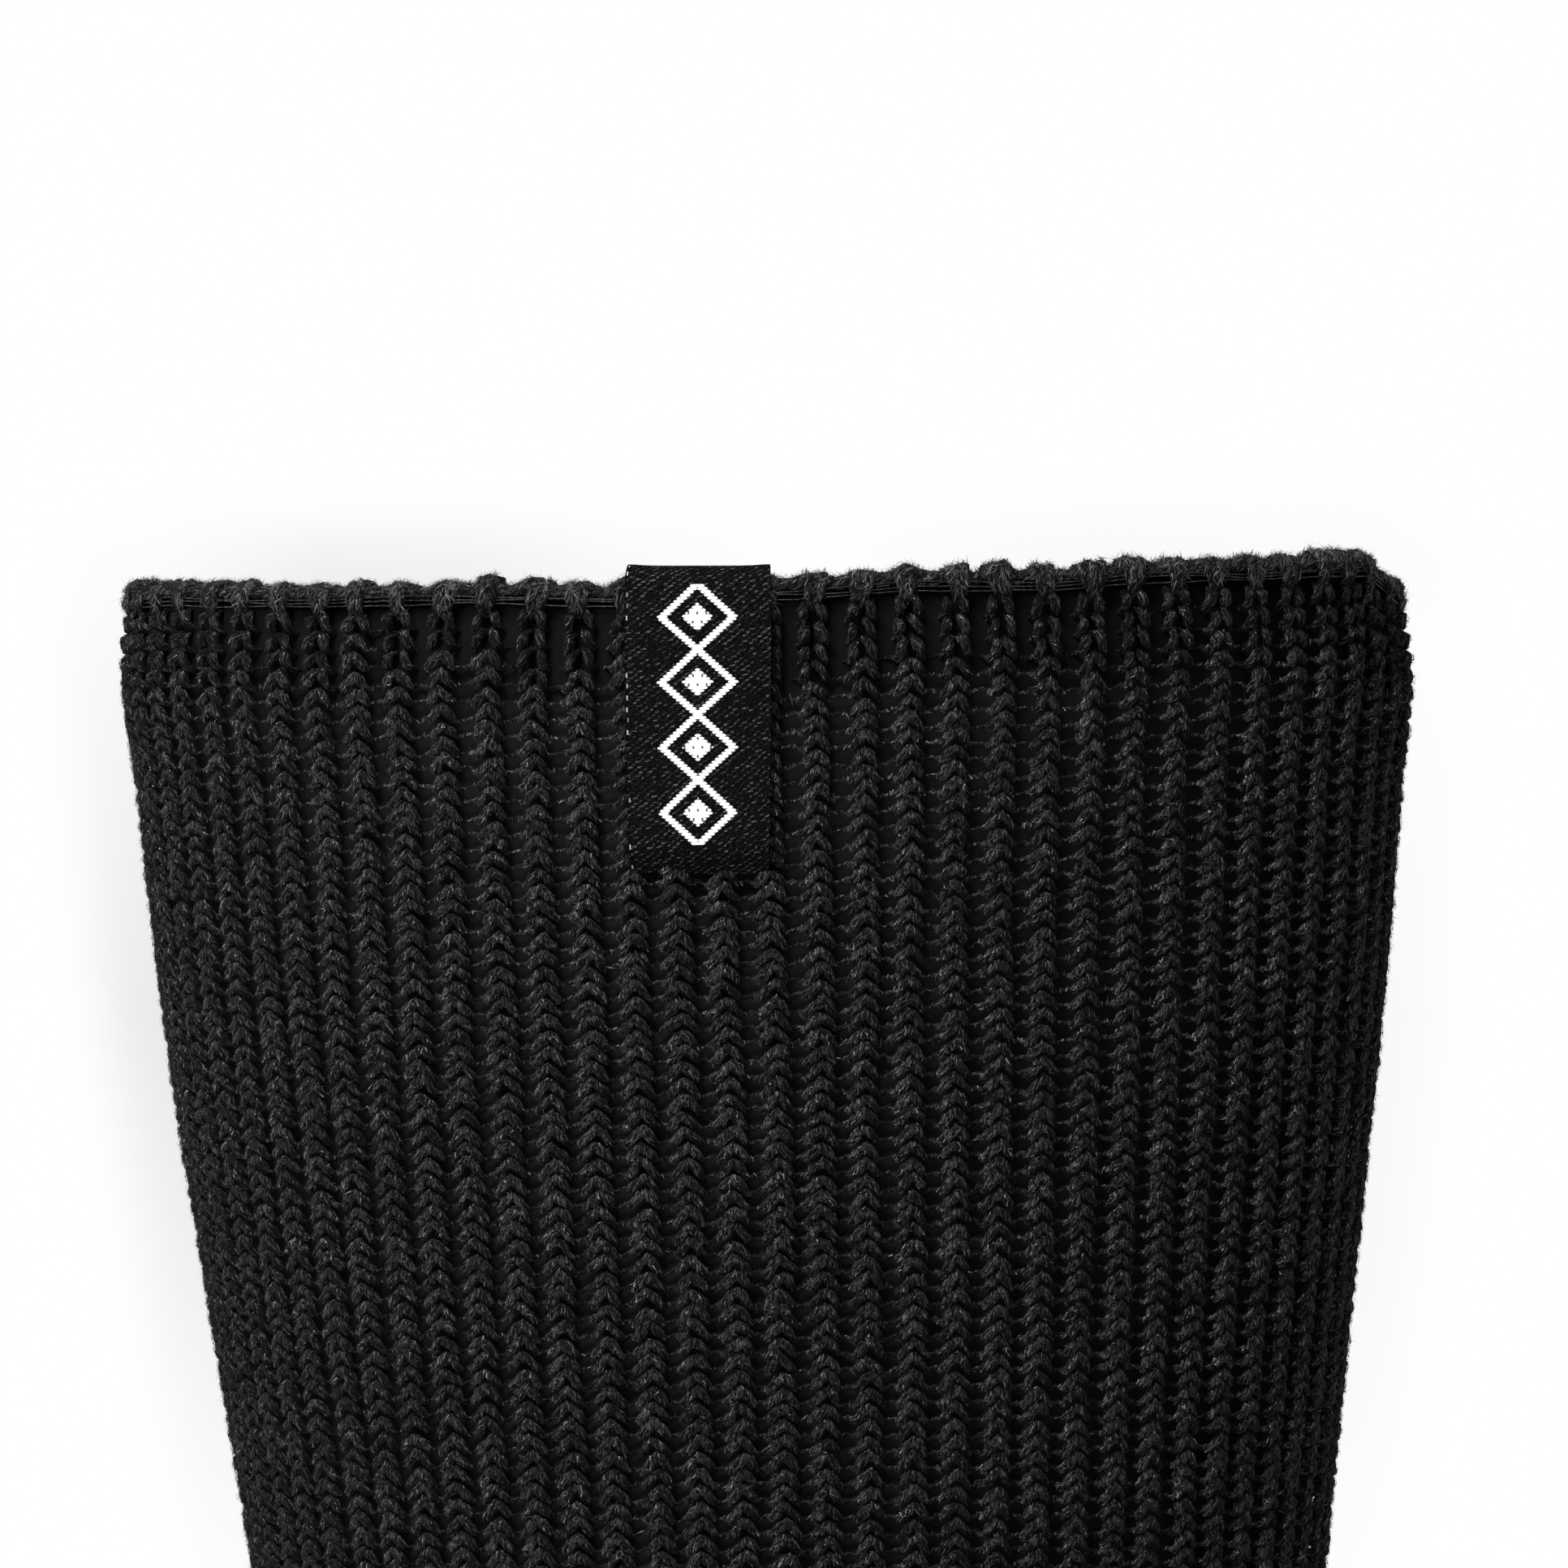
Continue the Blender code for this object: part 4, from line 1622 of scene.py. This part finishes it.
@dataclass
class Label:
    """A narrow tab of twill tape, folded over the edge of the cuff and turned under at its lower end."""

    form: SockForm
    centre_x: float = -5.01
    width: float = 11.82
    front_drop: float = 25.4
    back_drop: float = 22.0
    lift: float = 0.75
    bow: float = 0.22
    thickness: float = 0.42
    columns: int = 24
    rows: int = 60
    inner_rows: int = 20
    fold_steps: int = 14
    tuck: float = 2.2
    fold_height: float = -0.15
    corner_lift: float = 0.2
    taper: tuple[float, float] = (0.21, 0.32)
    finish: LabelFinish = LabelFinish()

    def build(self) -> Thing:
        """Makes the tab with its thickness.

        Returns:
            The tab.
        """
        across = np.linspace(-0.5, 0.5, self.columns + 1)
        middle = np.array([self.line(share) for share in across])
        columns, rows, _ = middle.shape
        along = walked(middle, 1)
        fold = np.argmax(middle[:, :, 2], axis=1)
        along = along[np.arange(columns), fold][:, None] - along
        normal = unit(np.cross(np.gradient(middle, axis=0), np.gradient(middle, axis=1)))
        if normal[self.columns // 2, 5, 1] > 0.0:
            normal = -normal
        sides = np.broadcast_to((across * self.width)[:, None], along.shape)
        tape = np.stack((sides, along, 0.0 * along), axis=2)
        edge_round = 1.0 - 4.5 * np.clip(np.abs(across) * 2.0 - 0.9, 0.0, 0.1)[:, None, None]
        half = 0.5 * self.thickness * edge_round * normal
        parts = MeshParts()
        faces = grid_quads(columns, rows, False)
        parts.add(middle + half, faces[..., ::-1], tape=tape)
        parts.add(middle - half, faces, tape=tape)
        first, side = np.arange(columns) * rows, np.arange(rows)
        rim = (first, first[-1] + side[1:], (first + rows - 1)[::-1][1:], side[::-1][1:-1])
        rim = np.concatenate(rim)
        after, under = np.roll(rim, -1), columns * rows
        parts.quads.append(np.stack((rim, after, under + after, under + rim), axis=1))
        return parts.make("label_tape", [self.finish.make()])

    def line(self, share: float) -> Array:
        """One lengthwise line of the tab, from the outer end over the edge to the inner end.

        Args:
            share: its place across the tab, from -0.5 to 0.5.

        Returns:
            The points.
        """
        form, x = self.form, self.centre_x + self.width * share
        turn = self.turn_at(x)
        low_turn = self.turn_at(x - self.taper[0] - self.taper[1] * (share + 0.5))
        top = float(form.place(turn, form.places[0], 0.0)[0][2])
        drop = top + self.front_drop
        done = np.linspace(0.0, 1.0, self.rows)
        flat_lift = self.lift + self.bow * math.cos(math.pi * share)
        tucked = np.clip(1.0 - drop * done / self.tuck, 0.0, 1.0) ** 1.6
        lift = flat_lift + 0.12 * np.sin(drop * done / 4.1 + 2.0 * share) - (flat_lift + 0.55) * tucked
        left = 1.0 - done
        outer, _ = form.place(turn + (low_turn - turn) * left, form.places[0] + drop * left, lift)
        angles = np.linspace(0.0, math.pi, self.fold_steps)[1:-1]
        half = 0.5 * form.wall + lift[-1]
        crown = self.fold_height - top - half + self.corner_lift * (2.0 * abs(share)) ** 6
        fold, _ = form.over_edge(turn, angles, half + crown * np.sin(angles))
        inner_down = form.places[0] + np.linspace(0.0, top + self.back_drop, self.inner_rows)
        inner, _ = form.place(turn, inner_down, -form.wall - lift[-1])
        return np.concatenate((outer, fold, inner))

    def turn_at(self, x: float) -> float:
        """How far round the leg a place on its -Y side lies.

        Args:
            x: the place, from back to front.

        Returns:
            The turn.
        """
        turns = np.linspace(0.05, 0.45, 400)
        points, _ = self.form.place(turns, 12.0, 0.0)
        return float(np.interp(-x, -points[:, 0], turns))


# Studio


@dataclass(frozen=True)
class Lamp:
    """A square area light that is aimed at the leg, in metres and watts."""

    name: str
    place: Triple
    size: float
    power: float
    aim: Triple = (0.0, 0.0, -0.05)

    def build(self) -> None:
        """Puts the light in the scene."""
        data = bpy.data.lights.new(self.name, "AREA")
        data.shape = "SQUARE"
        data.size = self.size
        data.energy = self.power
        lamp = put(self.name, data)
        lamp.location = self.place
        lamp.rotation_euler = (Vector(self.aim) - Vector(self.place)).to_track_quat("-Z", "Y").to_euler()


@dataclass
class Studio:
    """Pale floor, soft light from the left, and the camera.

    Camera and lamp distances are in metres. bright_side is where the sky is lightest, and sky its least
    and greatest strength. The soft shade stands shade_steps outside the leg's outline, and is as strong
    as shade_left and shade_right say at shade_heights, and shade_above at shade_places.
    """

    form: SockForm
    photo_side: float = 1932.0
    pixel: float = 0.0675
    origin_px: tuple[float, float] = (940.0, 703.0)
    distance: float = 1.6
    sensor: float = 36.0
    floor_z: float = -247.2
    floor_half: float = 3000.0
    floor_fade: tuple[float, float] = (0.3, 1.0)
    bright_side: Triple = (-0.55, -0.15, 0.8)
    sky: tuple[float, float] = (0.07, 0.41)
    lamps: tuple[Lamp, ...] = (
        Lamp("key", (-0.20, -0.43, 0.46), 0.25, 5.9),
        Lamp("side_left", (-1.1, 0.15, 0.25), 0.6, 3.0),
        Lamp("side_right", (0.95, 0.60, 0.25), 0.6, 3.0),
    )
    shade_steps: Floats = (-3.0, 0.0, 1.0, 2.0, 3.0, 4.0, 5.0, 6.0, 7.2, 8.6)
    shade_heights: Floats = (-100.0, -83.0, -59.0, -37.0, -17.0, -6.0)
    shade_left: Floats = (0.0, 0.03, 0.12, 0.18, 0.10, 0.05)
    shade_right: Floats = (0.0, 0.02, 0.06, 0.06, 0.03, 0.01)
    shade_places: Floats = (-53.0, -49.0, -36.0, -16.0, -8.0, 2.0, 12.0, 24.0, 50.0)
    shade_above: Floats = (0.03, 0.04, 0.14, 0.1, 0.0, 0.0, 0.03, 0.05, 0.03)

    def build(self) -> None:
        """Sets up the floor, the leg's soft shade, the world, the lights and the camera."""
        self.floor()
        self.soft_shade()
        self.world()
        for lamp in self.lamps:
            lamp.build()
        self.camera()
        bpy.context.scene.view_settings.view_transform = "Standard"
        bpy.context.scene.view_settings.look = "None"

    def floor(self) -> None:
        """A wide pale floor under the foot, which fades into the white round it."""
        parts = MeshParts()
        corners = self.floor_half * np.array(((-1, -1, 0), (1, -1, 0), (1, 1, 0), (-1, 1, 0)))
        parts.add(corners + np.array((0.0, 0.0, self.floor_z)), np.array((0, 1, 2, 3)))
        shading = Shading(bpy.data.materials.new("pale_floor"))
        spot = shading.node("ShaderNodeTexCoord").outputs["Object"]
        far = shading.vector("DISTANCE", spot, (0.0, 0.0, self.floor_z * MM), "Value")
        cover = Signal(shading, far).ramp(*self.floor_fade, 1.0, 0.0)
        shading.set(Base_Color=(0.9, 0.9, 0.9), Roughness=0.8, Alpha=cover)
        parts.make("floor", [shading.owner])

    def soft_shade(self) -> None:
        """The leg's faint soft shade, a clear ribbon that stands round its outline and thins outwards."""
        rings = self.form.rings[1:9]
        back = np.array([(ring.back_x, ring.back_z) for ring in rings[::-1]])
        edge = np.array((self.form.edge_xs, self.form.edge_zs)).T
        front = np.array([(ring.front_x, ring.front_z) for ring in rings])
        outline = np.concatenate((back, edge, front))
        ahead = unit(np.gradient(outline, axis=0))
        away = np.stack((-ahead[:, 1], ahead[:, 0]), axis=1)
        left = np.interp(back[:, 1], self.shade_heights, self.shade_left)
        above = np.interp(edge[:, 0], self.shade_places, self.shade_above)
        right = np.interp(front[:, 1], self.shade_heights, self.shade_right)
        offsets = np.array(self.shade_steps)
        spread = outline[:, None] + offsets[None, :, None] * away[:, None]
        points = np.stack((spread[..., 0], 0.0 * spread[..., 0], spread[..., 1]), axis=-1)
        share = np.clip(offsets / offsets[-1], 0.0, 1.0)
        shade = np.concatenate((left, above, right))[:, None] * (1.0 - share * share * (3.0 - 2.0 * share))
        parts = MeshParts()
        parts.add(points, grid_quads(*points.shape[:2], False), shade=shade)
        shading = Shading(bpy.data.materials.new("soft_shade"))
        cover = shading.carried("shade")
        shading.set(Base_Color=(0.0, 0.0, 0.0), Roughness=1.0, Specular_IOR_Level=0.0, Alpha=cover)
        ribbon = parts.make("soft_shade", [shading.owner])
        ribbon.visible_shadow = ribbon.visible_diffuse = ribbon.visible_glossy = False

    def world(self) -> None:
        """White all round to the eye, and lit a little more from the left and from above."""
        world = bpy.data.worlds.new("studio")
        bpy.context.scene.world = world
        shading = Shading(world)
        around = shading.node("ShaderNodeTexCoord").outputs["Generated"]
        slope = shading.vector("DOT_PRODUCT", around, self.bright_side, "Value")
        low, high = self.sky
        ends = {"Value": slope, "From Min": -1.0, "From Max": 1.0, "To Min": low, "To Max": high}
        strength = shading.node("ShaderNodeMapRange", None, ends).outputs["Result"]
        white = (1.0, 1.0, 1.0)
        lit = shading.node("ShaderNodeBackground", None, {"Color": white, "Strength": strength})
        seen = shading.node("ShaderNodeBackground", None, {"Color": white, "Strength": 1.0})
        eye = shading.node("ShaderNodeLightPath").outputs["Is Camera Ray"]
        mix = shading.node("ShaderNodeMixShader", None, {0: eye, 1: lit.outputs[0], 2: seen.outputs[0]})
        shading.feed(shading.tree.nodes["World Output"].inputs["Surface"], mix.outputs[0])

    def camera(self) -> None:
        """The camera, level, square on to the side of the leg, framed on the cuff."""
        middle = 0.5 * self.photo_side
        x, z = (middle - self.origin_px[0]) * self.pixel, (self.origin_px[1] - middle) * self.pixel
        data = bpy.data.cameras.new("camera")
        data.sensor_width = self.sensor
        data.lens = self.sensor * self.distance / (self.photo_side * self.pixel * MM)
        data.clip_start = 0.05
        data.clip_end = 50.0
        camera = put("camera", data)
        camera.location = (x * MM, -self.distance, z * MM)
        camera.rotation_euler = (0.25 * FULL_TURN, 0.0, 0.0)
        bpy.context.scene.camera = camera


def report(piece: Thing) -> None:
    """Logs a piece's name and its number of faces."""
    LOG.info("%s: %d faces", piece.name, len(piece.data.polygons))


def main() -> None:
    """Builds the sock, the label and the studio, and ties each piece to the frame."""
    logging.basicConfig(level=logging.INFO, format="%(name)s %(message)s")
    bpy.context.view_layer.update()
    form = SockForm()
    wall = Wall(form)
    cloth = wall.build()
    knitting = Leg(form, RibKnit(form)).build()
    knitting += Edge(form).build()
    knitting.append(ToeSeam(form).build())
    label = Label(form).build()
    for piece in (cloth, *knitting):
        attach(piece, "root")
        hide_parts("sock")
        report(piece)
    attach(label, "root")
    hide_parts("label")
    report(label)
    Studio(form).build()


if __name__ == "__main__":
    main()
